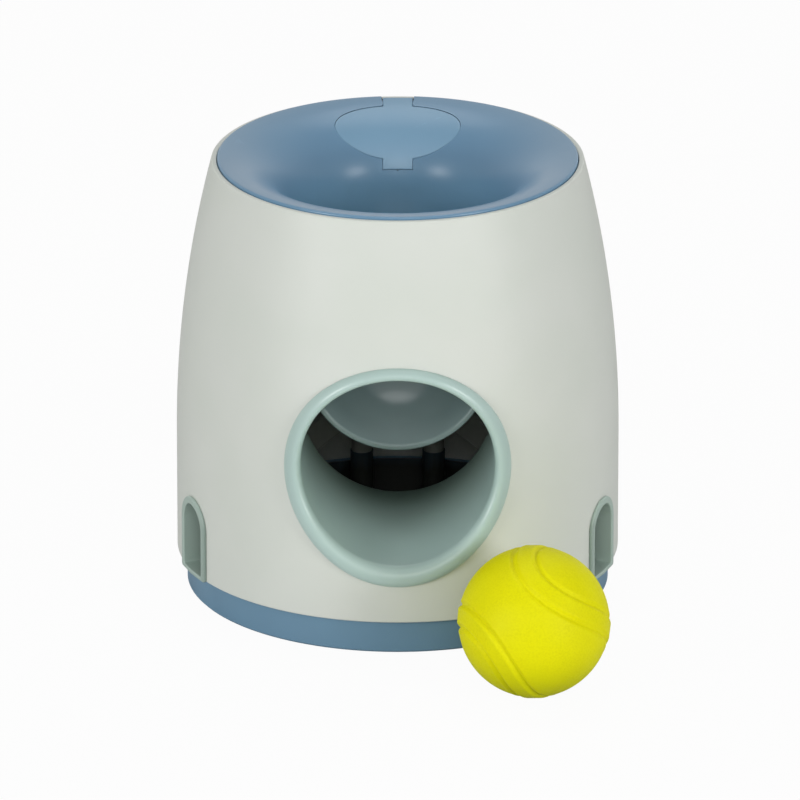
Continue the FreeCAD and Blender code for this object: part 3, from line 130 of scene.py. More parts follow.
def makeCamera():
    rise = math.radians(photoView["elevation"])
    aim = Vector(photoView["aim"])
    spot = aim + photoView["distance"] * Vector((0, -math.cos(rise), math.sin(rise)))
    camera = placeObject("photoCamera", bpy.data.cameras.new("photoCamera"))
    camera.data.lens = photoView["lens"]
    camera.data.sensor_width = photoView["sensor"]
    camera.data.clip_end = photoView["farEnd"] * mm
    aimAt(camera, spot, aim)
    bpy.context.scene.camera = camera


def makeLamps():
    for name, lamp in studio["lamps"].items():
        data = bpy.data.lights.new(name, "AREA")
        data.shape = "DISK"
        data.size = lamp["size"] * mm
        data.energy = lamp["power"]
        aimAt(placeObject(name, data), lamp["spot"], studio["lampAim"])


def makeWorld():
    # White where the camera, a gloss or a clear piece sees it, softer as a light.
    world = bpy.data.worlds.new("studioWhite")
    bpy.context.scene.world = world
    tree = bareTree(world)
    ray = addNode(tree, "LightPath").outputs
    either = combine(tree, "MAXIMUM", ray["Is Camera Ray"], ray["Is Transmission Ray"])
    shown = combine(tree, "MAXIMUM", either, ray["Is Glossy Ray"])
    white, strength = studio["white"], studio["worldLight"]
    light = addNode(tree, "Background", {"Color": white, "Strength": strength})
    seen = addNode(tree, "Background", {"Color": white, "Strength": 1})
    mixOnto(tree, "OutputWorld", shown, light, seen)


def makeFloor():
    half = studio["floorSize"] / 2 * mm
    mesh = bpy.data.meshes.new("studioFloor")
    corners = [(-half, -half, 0), (half, -half, 0), (half, half, 0), (-half, half, 0)]
    mesh.from_pydata(corners, [], [(0, 1, 2, 3)])
    floor = placeObject("studioFloor", mesh)
    material = bpy.data.materials.new("palePaper")
    tree = bareTree(material)
    paper = addNode(tree, "BsdfDiffuse", {"Color": pickerColour(*studio["floorColour"])})
    glow = addNode(tree, "Emission", {"Color": studio["white"], "Strength": 1})
    ray = addNode(tree, "LightPath").outputs
    share = combine(tree, "MULTIPLY", ray["Is Camera Ray"], studio["floorGlow"])
    mixOnto(tree, "OutputMaterial", share, paper, glow)
    mesh.materials.append(material)


makeCamera()
makeLamps()
makeWorld()
makeFloor()
bpy.context.scene.view_settings.view_transform = "Standard"
print("camera, floor and lights are set")


# Finishes

finishes = {
    "shellPlastic": {
        "colour": (219, 223, 216), "tint": (216, 221, 213), "rough": 0.46, "grain": 0.5, "grainDepth": 0.006,
        "shine": 0.3, "wear": 0},
    "bluePlastic": {
        "colour": (109, 146, 171), "tint": (106, 142, 167), "rough": 0.42, "grain": 0.5, "grainDepth": 0.006,
        # Painted shade: the base turns dark inside the casing's edge, where it lies under the casing.
        "paintedShading": {"along": "out", "from": 80.3, "to": 78.9, "colour": (52, 56, 52)}},
    "funnelPlastic": {
        "colour": (103, 142, 171), "tint": (100, 139, 168), "rough": 0.3, "grain": 0.5, "grainDepth": 0.004,
        # Painted light: the funnel is painted paler down the throat, to lift the shade there.
        "paintedShading": {"along": 2, "from": 160, "to": 140, "colour": (142, 188, 218)}},
    "lidPlastic": {
        "colour": (116, 155, 182), "tint": (113, 152, 179), "rough": 0.36, "grain": 0.5, "grainDepth": 0.004,
        # Painted light: the lid is painted paler towards its finger tab, down in the throat.
        "paintedShading": {"along": 2, "from": 168, "to": 152, "colour": (150, 188, 214)}},
    "tubePlastic": {
        "colour": (182, 206, 200), "tint": (179, 203, 197), "rough": 0.31, "grain": 0.6, "grainDepth": 0.003,
        # Painted shade: the tube's inside is painted darker towards the rear, deeper in the casing.
        "paintedShading": {"along": 1, "from": -80, "to": -24, "colour": (96, 112, 105)}},
    "scoopPlastic": {
        "colour": (158, 178, 176), "tint": (155, 175, 173), "rough": 0.2, "grain": 0.9, "grainDepth": 0.001},
    "innerPlastic": {
        "colour": (168, 172, 164), "tint": (163, 167, 159), "rough": 0.5, "grain": 0.6, "grainDepth": 0.008},
    "nylon": {
        "colour": (229, 226, 214), "tint": (222, 218, 204), "rough": 0.4, "grain": 0.8, "grainDepth": 0.01},
}
for side, sign in (("left", -1), ("right", 1)):
    finishes[side + "Liner"] = {
        "colour": (172, 192, 182), "tint": (169, 189, 179), "rough": 0.34, "grain": 0.6, "grainDepth": 0.004,
        # Painted shade: each sleeve is painted darker deeper inside the casing.
        "paintedShading": {"along": 0, "from": sign * 77, "to": sign * 70, "colour": (80, 98, 88)}}

# What all moulded plastics share. A range is the part of the noise, or of the edges' sharpness, that counts.
plasticSkin = {
    "cloud": 34,
    "cloudRange": (0.35, 0.65),
    "edgeRange": (0.53, 0.6),
    "wear": 0.35,
    "wornPaler": 1.18,
    "handled": 14,
    "handledRange": (0.3, 0.7),
    "roughChange": 0.02,
    "grainRoughness": 0.6,
    "refraction": 1.49,
    "shine": 0.5,
}

foam = {
    "colour": (236, 232, 6),
    "tint": (238, 234, 12),
    "cloud": 11,
    "cloudRange": (0.4, 0.75),
    "cloudMost": 0.5,
    # Painted shade: the pebbles' low spots are painted a little darker.
    "hollow": (228, 224, 4),
    "hollowRange": (0.3, 0.6),
    # Painted shade: the ball is painted darker towards the bottom, from the first height down to the second.
    "low": (204, 206, 2),
    "paintedLowShadeFrom": 28,
    "paintedLowShadeTo": 3,
    "rough": (0.6, 0.42),
    "roughRange": (0.3, 0.7),
    "shine": 0.1,
    "glow": 0.15,
    "glowReach": 1.2,
    "glowColours": (1, 0.8, 0.15),
    "pebble": 0.8,
    "pebbleDepth": 0.09,
    "pore": 0.25,
    "poreDepth": 0.03,
    "poreRoughness": 0.7,
}

hardware = {
    "rubber": {
        "colour": (58, 62, 66), "dust": (92, 96, 98), "dustMost": 0.5, "patch": 5, "patchRoughness": 0.65,
        "patchRange": (0.45, 0.75), "rough": 0.8, "grain": 0.7, "grainRoughness": 0.7, "grainDepth": 0.03},
    "steel": {
        "colour": (196, 197, 199), "stain": (150, 148, 144), "stainMost": 0.6, "patch": 3,
        "patchRoughness": 0.6, "patchRange": (0.5, 0.8), "dull": 1.5, "dullRoughness": 0.7,
        "dullRange": (0.3, 0.8), "rough": (0.22, 0.42), "line": 0.25, "lineRoughness": 0.6,
        "lineStretch": (1, 1, 9), "lineDepth": 0.006},
}


def objectPlace(tree):
    # Coordinates in the object's own space, from one node for each material.
    coords = tree.nodes.get("coords") or addNode(tree, "TexCoord", name="coords")
    return coords.outputs["Object"]


def objectNoise(tree, size, detail, rough=0.5, stretch=None):
    # Noise whose size is the width of a patch in millimetres.
    source = objectPlace(tree)
    if stretch:
        source = addNode(tree, "Mapping", {"Vector": source, "Scale": stretch}).outputs["Vector"]
    noise = addNode(tree, "TexNoise",
                    {"Vector": source, "Scale": 1 / (size * mm), "Detail": detail, "Roughness": rough})
    return noise.outputs["Fac"]


def spread(tree, source, ends, outLow=0.0, outHigh=1.0):
    # Turns the values between two ends into those from outLow to outHigh.
    ramp = addNode(tree, "MapRange", {
        "Value": source, "From Min": ends[0], "From Max": ends[1], "To Min": outLow, "To Max": outHigh})
    return ramp.outputs["Result"]


def mixColours(tree, share, first, second):
    mix = addNode(tree, "Mix", {"Factor": share, "A": first, "B": second}, data_type="RGBA")
    return mix.outputs["Result"]


def addBump(tree, height, depth, under=None):
    # A relief of a depth in millimetres, on top of another one where there is one.
    bump = addNode(tree, "Bump", {"Height": height, "Distance": depth * mm})
    if under:
        tree.links.new(under, bump.inputs["Normal"])
    return bump.outputs["Normal"]


def paintedShadingShare(tree, along, start, end):
    # The share of painted light or shade: 0 to 1 between two distances in millimetres, along one axis of the
    # piece or out from its upright axis.
    if along == "out":
        flat = addNode(tree, "VectorMath", {0: objectPlace(tree), 1: (1, 1, 0)},
                       operation="MULTIPLY")
        reach = addNode(tree, "VectorMath", {0: flat.outputs["Vector"]}, operation="LENGTH")
        distance = reach.outputs["Value"]
    else:
        distance = addNode(tree, "SeparateXYZ", {0: objectPlace(tree)}).outputs[along]
    ends = {"Value": distance, "From Min": start * mm, "From Max": end * mm}
    ramp = addNode(tree, "MapRange", ends, interpolation_type="SMOOTHSTEP")
    return ramp.outputs["Result"]


def mouldedPlastic(tree, look):
    # Injection-moulded plastic: a fine spark-eroded grain, faint flow clouds,
    # edges rubbed a little paler and a gloss that varies where it is handled.
    skin = plasticSkin
    base = pickerColour(*look["colour"])
    clouds = spread(tree, objectNoise(tree, skin["cloud"], 2), skin["cloudRange"])
    body = mixColours(tree, clouds, base, pickerColour(*look["tint"]))
    # Painted light or shade: the colour turns paler or darker along one axis of the piece.
    if "paintedShading" in look:
        paintedShading = look["paintedShading"]
        share = paintedShadingShare(tree, paintedShading["along"], paintedShading["from"], paintedShading["to"])
        body = mixColours(tree, share, body, pickerColour(*paintedShading["colour"]))
    edges = addNode(tree, "NewGeometry").outputs["Pointiness"]
    worn = spread(tree, edges, skin["edgeRange"], 0, look.get("wear", skin["wear"]))
    paler = tuple(min(1, part * skin["wornPaler"]) for part in base[:3]) + (1,)
    handled = spread(tree, objectNoise(tree, skin["handled"], 2), skin["handledRange"],
                     look["rough"] - skin["roughChange"], look["rough"] + skin["roughChange"])
    grain = objectNoise(tree, look["grain"], 2, skin["grainRoughness"])
    return {
        "Base Color": mixColours(tree, worn, body, paler),
        "Roughness": handled,
        "Normal": addBump(tree, grain, look["grainDepth"]),
        "IOR": skin["refraction"],
        "Specular IOR Level": look.get("shine", skin["shine"]),
    }


def rubber(tree, look):
    # Soft moulded rubber: matt, with a coarse grain and pale dust in patches.
    patches = objectNoise(tree, look["patch"], 5, look["patchRoughness"])
    dust = spread(tree, patches, look["patchRange"], 0, look["dustMost"])
    grain = objectNoise(tree, look["grain"], 3, look["grainRoughness"])
    return {
        "Base Color": mixColours(tree, dust, pickerColour(*look["colour"]), pickerColour(*look["dust"])),
        "Roughness": look["rough"],
        "Normal": addBump(tree, grain, look["grainDepth"]),
    }


def turnedSteel(tree, look):
    # Nickel-plated steel: fine turning lines and a gloss dulled in patches.
    patches = objectNoise(tree, look["patch"], 4, look["patchRoughness"])
    stain = spread(tree, patches, look["patchRange"], 0, look["stainMost"])
    dull = objectNoise(tree, look["dull"], 4, look["dullRoughness"])
    lines = objectNoise(tree, look["line"], 2, look["lineRoughness"], look["lineStretch"])
    return {
        "Metallic": 1,
        "Base Color": mixColours(tree, stain, pickerColour(*look["colour"]), pickerColour(*look["stain"])),
        "Roughness": spread(tree, dull, look["dullRange"], *look["rough"]),
        "Normal": addBump(tree, lines, look["lineDepth"]),
    }


def pebbledFoam(tree, look):
    # Foam rubber: a moulded pebble skin with fine pores, soft light inside and duller in its low spots, with
    # painted shade in those low spots and on the ball's lower part.
    pebbles = objectNoise(tree, look["pebble"], 2)
    # Painted shade in the pebbles' low spots.
    shade = spread(tree, pebbles, look["hollowRange"])
    body = mixColours(tree, shade, pickerColour(*look["hollow"]), pickerColour(*look["colour"]))
    clouds = spread(tree, objectNoise(tree, look["cloud"], 3), look["cloudRange"], 0, look["cloudMost"])
    body = mixColours(tree, clouds, body, pickerColour(*look["tint"]))
    # Painted shade on the ball's lower part.
    under = paintedShadingShare(tree, 2, look["paintedLowShadeFrom"], look["paintedLowShadeTo"])
    coarse = addBump(tree, pebbles, look["pebbleDepth"])
    pores = objectNoise(tree, look["pore"], 3, look["poreRoughness"])
    return {
        "Base Color": mixColours(tree, under, body, pickerColour(*look["low"])),
        "Roughness": spread(tree, pebbles, look["roughRange"], *look["rough"]),
        "Specular IOR Level": look["shine"],
        "Subsurface Weight": look["glow"],
        "Subsurface Radius": look["glowColours"],
        "Subsurface Scale": look["glowReach"] * mm,
        "Normal": addBump(tree, pores, look["poreDepth"], coarse),
    }


def newMaterial(name, recipe, look):
    material = bpy.data.materials.new(name)
    material.use_nodes = True
    tree = material.node_tree
    fillInputs(tree, tree.nodes["Principled BSDF"], recipe(tree, look))
    return material


materials = {name: newMaterial(name, mouldedPlastic, look) for name, look in finishes.items()}
materials["ballFoam"] = newMaterial("ballFoam", pebbledFoam, foam)
materials["rubber"] = newMaterial("blackRubber", rubber, hardware["rubber"])
materials["steel"] = newMaterial("turnedSteel", turnedSteel, hardware["steel"])

# Which finish each CAD part gets that shows as it is.
partFinish = {
    "bluePlastic": ["base_plate"],
    "innerPlastic": ["treat_ramp", "frame_left", "frame_right", "counterweight_arm", "hopper"],
    "nylon": ["scoop_bushes", "drum_bushes", "gear_sector", "metering_drum", "drum_pinion"],
    "steel": ["lid_hinge_pin", "counterweight", "counterweight_screw", "trunnion_screws", "drum_axle",
              "drum_axle_clips", "base_screws", "frame_screws", "tube_screws", "ramp_screws",
              "funnel_screws", "hopper_screws"],
    "rubber": ["anti_slip_ring", "scoop_bumpers"],
}

for finish, names in partFinish.items():
    for name in names:
        for slot in nodes[name].material_slots:
            slot.material = materials[finish]
print("finishes are on the CAD parts")


# Mesh helpers. Points are in millimetres until a piece is made.

nearAxis = 0.01
weldGap = 0.002
sharpAngle = 40
bluntAngle = 50
sideShare = 0.49
halvings = 40


def evenSteps(start, end, count, last=0):
    # Even steps from start to end, with the end itself where last is 1.
    return [start + (end - start) * step / count for step in range(count + last)]


def roundedOutline(corners, steps=6):
    # Corners are (r, z) or (r, z, rounding); a rounded one becomes an arc of short steps.
    points = []
    for index, corner in enumerate(corners):
        here = Vector(corner[:2])
        if len(corner) < 3:
            points.append(here)
            continue
        before = Vector(corners[index - 1][:2]) - here
        after = Vector(corners[(index + 1) % len(corners)][:2]) - here
        half = before.angle(after) / 2
        reach = min(corner[2] / math.tan(half), before.length * sideShare, after.length * sideShare)
        radius = reach * math.tan(half)
        centre = here + (before.normalized() + after.normalized()).normalized() * radius / math.sin(half)
        start = here + before.normalized() * reach - centre
        turn = start.angle_signed(here + after.normalized() * reach - centre)
        for step in range(steps + 1):
            points.append(centre + Matrix.Rotation(-turn * step / steps, 2) @ start)
    return [tuple(point) for point in points]


def arcPoints(centre, radius, start, end, steps):
    # Points on an arc between two angles, in degrees from the first axis.
    turns = [math.radians(angle) for angle in evenSteps(start, end, steps, 1)]
    return [(centre[0] + radius * math.cos(turn), centre[1] + radius * math.sin(turn)) for turn in turns]


def roundingSteps(radius, steps=4):
    # How far from an edge, and how deep under the face, each line of its rounding lies.
    return [(radius * (1 - math.cos(turn)), radius * (1 - math.sin(turn)))
            for turn in evenSteps(0, math.pi / 2, steps, 1)]


def lastHeld(test, low, high):
    # The greatest value for which a test holds that is true up to there and false beyond.
    for _ in range(halvings):
        middle = (low + high) / 2
        low, high = (middle, high) if test(middle) else (low, middle)
    return low


def gridFaces(rows, columns, closeRows=False, closeColumns=False, first=0):
    # Quads of a grid whose points are stored row after row.
    faces = []
    for row in range(rows if closeRows else rows - 1):
        nextRow = (row + 1) % rows
        for column in range(columns if closeColumns else columns - 1):
            nextColumn = (column + 1) % columns
            faces.append((first + row * columns + column, first + row * columns + nextColumn,
                          first + nextRow * columns + nextColumn, first + nextRow * columns + column))
    return faces


def makePiece(name, points, faces, material, sharp=sharpAngle):
    # Welds the points, turns the faces outward and shades all but real corners smooth.
    mesh = bpy.data.meshes.new(name)
    mesh.from_pydata([Vector(point) * mm for point in points], [], faces)
    work = bmesh.new()
    work.from_mesh(mesh)
    bmesh.ops.remove_doubles(work, verts=work.verts, dist=weldGap * mm)
    bmesh.ops.dissolve_degenerate(work, edges=work.edges, dist=weldGap / 2 * mm)
    bmesh.ops.recalc_face_normals(work, faces=work.faces)
    for face in work.faces:
        face.smooth = True
    work.to_mesh(mesh)
    work.free()
    mesh.set_sharp_from_angle(angle=math.radians(sharp))
    mesh.materials.append(material)
    return placeObject(name, mesh)


def latheGrid(outline, steps):
    # A closed outline of (r, z) points turned round the Z axis.
    points = []
    for angle in evenSteps(0, 2 * math.pi, steps):
        points += [(r * math.cos(angle), r * math.sin(angle), z) for r, z in outline]
    return points, gridFaces(steps, len(outline), True, True)


def joinParts(*parts):
    # Puts several (points, faces) lists into one.
    points, faces = [], []
    for partPoints, partFaces in parts:
        start = len(points)
        points += partPoints
        faces += [tuple(start + index for index in face) for face in partFaces]
    return points, faces


def turnedPosts(posts):
    # Upright posts with slightly rounded rims.
    low, high, radius = posts["bottom"], posts["top"], posts["radius"]
    rounding, around = 0.3, 32
    outline = [(nearAxis, low), (radius, low, rounding), (radius, high, rounding), (nearAxis, high)]
    points, faces = latheGrid(roundedOutline(outline, 3), around)
    return [([(x + across, y + back, z) for x, y, z in points], faces) for across, back in posts["places"]]


def roundedBlock(centre, size, rounding):
    # A block with rounded edges.
    work = bmesh.new()
    bmesh.ops.create_cube(work, size=1)
    for vert in work.verts:
        vert.co = Vector(c + s * part for c, s, part in zip(centre, size, vert.co))
    bmesh.ops.bevel(work, geom=list(work.edges), offset=rounding, segments=3, affect="EDGES", profile=0.5)
    work.verts.index_update()
    points = [tuple(vert.co) for vert in work.verts]
    faces = [tuple(vert.index for vert in face.verts) for face in work.faces]
    work.free()
    return points, faces


def cutterBetween(name, rows):
    # A closed shape between two equal rows of points, to cut with.
    count = len(rows[0])
    ends = [tuple(range(count)), tuple(range(count, 2 * count))]
    faces = gridFaces(2, count, False, True) + ends
    return makePiece(name, rows[0] + rows[1], faces, materials["shellPlastic"])


def cutAway(piece, cutters):
    # Cuts closed shapes out of a piece and keeps the result as its mesh.
    for cutter in cutters:
        modifier = piece.modifiers.new("cut", "BOOLEAN")
        modifier.object = cutter
        modifier.operation = "DIFFERENCE"
        modifier.solver = "EXACT"
    shaped = piece.evaluated_get(bpy.context.evaluated_depsgraph_get())
    mesh = bpy.data.meshes.new_from_object(shaped)
    piece.modifiers.clear()
    piece.data = mesh
    for cutter in cutters:
        bpy.data.objects.remove(cutter)
    mesh.set_sharp_from_angle(angle=math.radians(sharpAngle))


# Casing: one barrel-shaped moulding with three openings

casing = {
    "radius": 85,
    "bottom": 14.1,
    "lowRows": (20, 34, 48),
    "straightTop": 62,
    "sideCurve": 440,
    "sideRows": 40,
    "top": 171.4,
    "rimStep": 1.2,
    "wall": 2.6,
    "rimInside": 69.25,
    "rimRounding": 0.7,
    "innerRimRounding": 0.35,
    "footRounding": 0.8,
    "innerFootRounding": 0.2,
    "around": 256,
    "tubeHole": {"height": 72.7, "radius": 40.4, "from": -110, "to": -40, "around": 128},
    "exits": {"right": -23, "left": 203},
    "exitHole": {"half": 10.4, "spring": 34, "below": 2, "from": 60, "to": 100, "archSteps": 40},
}


def casingReach(z, offset=0):
    # Radius of the casing's outer face at a height, or of a face outside it.
    rise = max(0, z - casing["straightTop"])
    curve = casing["sideCurve"]
    return casing["radius"] - curve + math.sqrt((curve + offset) ** 2 - rise ** 2)


def faceCasing(mesh, low, top):
    # The cuts leave long thin faces, so the outside takes the normals of the plain barrel.
    step, nearFace, leastMatch = 0.2, 0.1, 0.9
    facings = [(0, 0, 0)] * len(mesh.loops)
    for face in mesh.polygons:
        for loop in face.loop_indices:
            x, y, z = mesh.vertices[mesh.loops[loop].vertex_index].co / mm
            reach = math.hypot(x, y)
            if not low < z < top or abs(reach - casingReach(z)) > nearFace:
                continue
            slope = (casingReach(z + step) - casingReach(z - step)) / (2 * step)
            facing = Vector((x / reach, y / reach, -slope)).normalized()
            if face.normal.dot(facing) > leastMatch:
                facings[loop] = facing
    mesh.normals_split_custom_set(facings)


def tubeCutter():
    hole = casing["tubeHole"]
    radius, height = hole["radius"], hole["height"]
    turns = evenSteps(0, 2 * math.pi, hole["around"])
    rows = [[(radius * math.cos(turn), y, height + radius * math.sin(turn)) for turn in turns]
            for y in (hole["from"], hole["to"])]
    return cutterBetween("tubeCutter", rows)


def exitCutter(side):
    hole = casing["exitHole"]
    half, low = hole["half"], casing["bottom"] - hole["below"]
    arch = [(0, low), (half, low)]
    arch += arcPoints((0, hole["spring"]), half, 0, 180, hole["archSteps"])
    arch.append((-half, low))
    turn = Matrix.Rotation(math.radians(casing["exits"][side]), 3, "Z")
    rows = [[turn @ Vector((out, across, z)) for across, z in arch] for out in (hole["from"], hole["to"])]
    return cutterBetween(side + "Cutter", rows)


def makeCasing():
    low, top, straight = casing["bottom"], casing["top"], casing["straightTop"]
    wall, foot, lowRows = casing["wall"], casing["footRounding"], casing["lowRows"]
    radius = casing["radius"]
    heights = evenSteps(straight, top - casing["rimStep"], casing["sideRows"], 1)
    outer = [(radius, z) for z in lowRows] + [(casingReach(z), z) for z in heights]
    inner = [(max(casingReach(z, -wall), casing["rimInside"]), z) for z in reversed(heights)]
    inner += [(radius - wall, z) for z in reversed(lowRows)]
    feet = [(radius - wall, low, casing["innerFootRounding"]), (radius, low, foot)]
    rim = [(casingReach(top), top, casing["rimRounding"]),
           (casing["rimInside"], top, casing["innerRimRounding"])]
    shape = latheGrid(roundedOutline(feet + outer + rim + inner), casing["around"])
    piece = makePiece("casing", *shape, materials["shellPlastic"])
    cutAway(piece, [tubeCutter()] + [exitCutter(side) for side in casing["exits"]])
    margin = 0.02
    faceCasing(piece.data, low + foot - margin, top - casing["rimRounding"] + margin)
    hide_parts("outer_shell")
    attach(piece, "casing")


makeCasing()
print("casing is made")


# Funnel: a dish that rolls over into the throat, with a shield-shaped opening for the lid

funnel = {
    "throat": 39.5,
    "throatBottom": 130,
    "bendCentre": (69.5, 142.354),
    "bendRadius": 30,
    "bendAngle": 80,
    "dishCentre": (72.973, 122.658),
    "dishRadius": 50,
    "rim": 69.0,
    "rimRounding": 0.8,
    "rimZone": 6,
    "skirtBottom": 160.5,
    "wall": 2,
    "around": 240,
    "rows": {"throat": 14, "bend": 18, "dish": 40, "rim": 6, "skirt": 6},
    "openingSide": 31,
    "openingTop": 1.5,
    "openingColumns": 40,
    "openingFootColumns": 30,
    "openingRings": (0.06, 0.14, 0.24, 0.36, 0.5, 0.66, 0.83, 1),
    "edgeRounding": 0.35,
    "shield": {"half": 24.7, "length": 12.5, "centre": (49.3, 165.8), "middle": 163.5, "passes": 6,
               "edgeSteps": 1400},
    "tab": {"half": 6.2, "bottom": 151.6},
    "ears": {"near": 6.2, "far": 9.8, "y": (62.0, 67.4), "z": (167.1, 170.9), "rounding": 0.5},
    "posts": {"places": [(45.25, 45.25), (-45.25, 45.25), (45.25, -45.25), (-45.25, -45.25)],
              "bottom": 160.5, "top": 168.6, "radius": 3.8},
}


def funnelSections():
    # The visible face as runs of the profile: length and a function from a share to (r, z, across, up).
    bend, dish = funnel["bendCentre"], funnel["dishCentre"]
    bendRadius, dishRadius = funnel["bendRadius"], funnel["dishRadius"]
    rim, rounding = funnel["rim"], funnel["rimRounding"]
    bendTurn = math.radians(funnel["bendAngle"])
    dishFrom = math.atan2(bend[1] + bendRadius * math.sin(bendTurn) - dish[1],
                          bend[0] - bendRadius * math.cos(bendTurn) - dish[0])
    inset = rim - rounding
    tall = math.sqrt((dishRadius - rounding) ** 2 - (inset - dish[0]) ** 2)
    rimCentre = (inset, dish[1] + tall)
    dishTo = math.atan2(tall, inset - dish[0])

    def onArc(centre, radius, angle):
        across, up = math.cos(angle), math.sin(angle)
        return centre[0] + radius * across, centre[1] + radius * up, across, up

    def throatWall(share):
        return funnel["throat"], funnel["throatBottom"] + share * (bend[1] - funnel["throatBottom"]), -1, 0

    def bendArc(share):
        return onArc(bend, bendRadius, math.pi - share * bendTurn)

    def dishArc(share):
        return onArc(dish, dishRadius, dishFrom + share * (dishTo - dishFrom))

    def rimArc(share):
        return onArc(rimCentre, rounding, dishTo * (1 - share))

    def skirtWall(share):
        return rim, rimCentre[1] + share * (funnel["skirtBottom"] - rimCentre[1]), 1, 0

    return [
        (bend[1] - funnel["throatBottom"], throatWall),
        (bendRadius * bendTurn, bendArc),
        (dishRadius * abs(dishTo - dishFrom), dishArc),
        (rounding * dishTo, rimArc),
        (rimCentre[1] - funnel["skirtBottom"], skirtWall),
    ]


sections = funnelSections()
sectionEnds = [sum(length for length, _ in sections[:count]) for count in range(len(sections) + 1)]
throatEnd, bendEnd, dishEnd, rimEnd, skirtEnd = sectionEnds[1:]


def profileAt(run):
    # Radius, height and facing of the funnel's face at a distance along its profile.
    for (length, shape), start in zip(sections, sectionEnds):
        if run <= start + length or shape is sections[-1][1]:
            return shape((run - start) / length)


def runAtHeight(z):
    # Distance along the throat, the bend or the dish at which the face has a height.
    return lastHeld(lambda run: profileAt(run)[1] < z, 0, dishEnd)


tabRun = runAtHeight(funnel["tab"]["bottom"])
shieldRun = runAtHeight(funnel["shield"]["middle"])
edgeRun = dishEnd - funnel["openingTop"]


def skinPoint(run, angle, depth):
    # A point under the face: run along the profile, angle from the rear, depth below the face.
    faceR, faceZ, across, up = profileAt(run)
    r, z = faceR - depth * across, faceZ - depth * up
    corner = funnel["rim"] - depth
    nearRim = depth > funnel["rimRounding"] and run > bendEnd - funnel["rimZone"]
    if nearRim and (run > dishEnd or r > corner):
        # Deeper than the rim's rounding, the underside turns at a sharp corner.
        dishR, dishZ = funnel["dishCentre"]
        r, z = corner, dishZ + math.sqrt((funnel["dishRadius"] - depth) ** 2 - (corner - dishR) ** 2)
        if run > rimEnd:
            z = min(faceZ, z)
    return r * math.sin(angle), r * math.cos(angle), z


def spotAt(x, run, depth=0):
    # A spot at a distance across from the middle line, as skinPoint takes it.
    return run, math.asin(max(-1, min(1, x / profileAt(run)[0]))), depth


def shieldHalf(run, gap):
    # Half the width of the lid's outline at a distance along the profile, less a gap.
    shield = funnel["shield"]
    centreR, centreZ = shield["centre"]
    r, z = profileAt(run)[:2]
    lean = math.sqrt(0.5)
    along = lean * (r - centreR) + lean * (z - centreZ)
    length, half = shield["length"] - gap, shield["half"] - gap
    width = 0
    if abs(along) < length and run < dishEnd:
        # On the slanted plane the place along the shield depends on the width a little.
        width = half * math.sqrt(1 - (along / length) ** 2)
        for _ in range(shield["passes"]):
            y = math.sqrt(max(r * r - width * width, 0))
            along = lean * (y - centreR) + lean * (z - centreZ)
            width = half * math.sqrt(max(0, 1 - (along / length) ** 2))
    return max(width, funnel["tab"]["half"] - gap)


def shieldRays(gap, top):
    # The outline's distance from the shield's middle, by the angle from straight down the throat.
    bottom, half = tabRun + gap, funnel["tab"]["half"] - gap
    line = [(x, bottom) for x in evenSteps(0, half, 4)]
    line += [(shieldHalf(run, gap), run) for run in evenSteps(bottom, top, funnel["shield"]["edgeSteps"], 1)]
    angles = np.array([math.atan2(x, shieldRun - run) for x, run in line])
    reaches = np.array([math.hypot(x, shieldRun - run) for x, run in line])
    order = np.argsort(angles)
    return angles[order], reaches[order]


def lineNormals(line, closed=False):
    # Unit directions to the left of a line of (across, run) points.
    count = len(line)
    normals = []
    for index in range(count):
        ax, ay = line[index - 1 if closed else max(index - 1, 0)]
        bx, by = line[(index + 1) % count if closed else min(index + 1, count - 1)]
        length = math.hypot(bx - ax, by - ay) or 1
        normals.append(((ay - by) / length, (bx - ax) / length))
    return normals


def thickSheet(spots, faces, wall):
    # A sheet of (run, angle, depth) spots with its underside and the walls along its open edges.
    count = len(spots)
    points = [skinPoint(*spot) for spot in spots]
    keys = [tuple(round(part, 2) for part in point) for point in points]
    points += [skinPoint(run, angle, wall) for run, angle, _ in spots]
    sides = {}
    for face in faces:
        for a, b in zip(face, face[1:] + face[:1]):
            sides.setdefault(frozenset((keys[a], keys[b])), []).append((a, b))
    allFaces = faces + [tuple(count + index for index in reversed(face)) for face in faces]
    for pair, uses in sides.items():
        if len(uses) == 1 and len(pair) == 2:
            a, b = uses[0]
            allFaces.append((b, a, a + count, b + count))
    return points, allFaces


def openingLines(rise):
    # The far line of the field round the opening, from the slot at the rim down to the throat's foot,
    # then the opening's edge point by point, and the directions away from the hole.
    side, slot, feet = funnel["openingSide"], funnel["tab"]["half"], funnel["openingFootColumns"]
    far = [(x, edgeRun) for x in evenSteps(slot + funnel["edgeRounding"], side, funnel["openingColumns"])]
    far += [(side, run) for run in reversed(rise)]
    far += [(side * (1 - step / feet), 0) for step in range(1, feet + 1)]
    angles, reaches = shieldRays(0, edgeRun)
    near = []
    for x, run in far:
        angle = math.atan2(x, shieldRun - run)
        reach = float(np.interp(angle, angles, reaches))
        near.append((reach * math.sin(angle), shieldRun - reach * math.cos(angle)))
    near[0] = (slot, edgeRun)
    near[-1] = (0, near[-1][1])
    away = [(-x, -y) for x, y in lineNormals(near)]
    away[0], away[-1] = (1, 0), (0, -1)
    return far, near, away


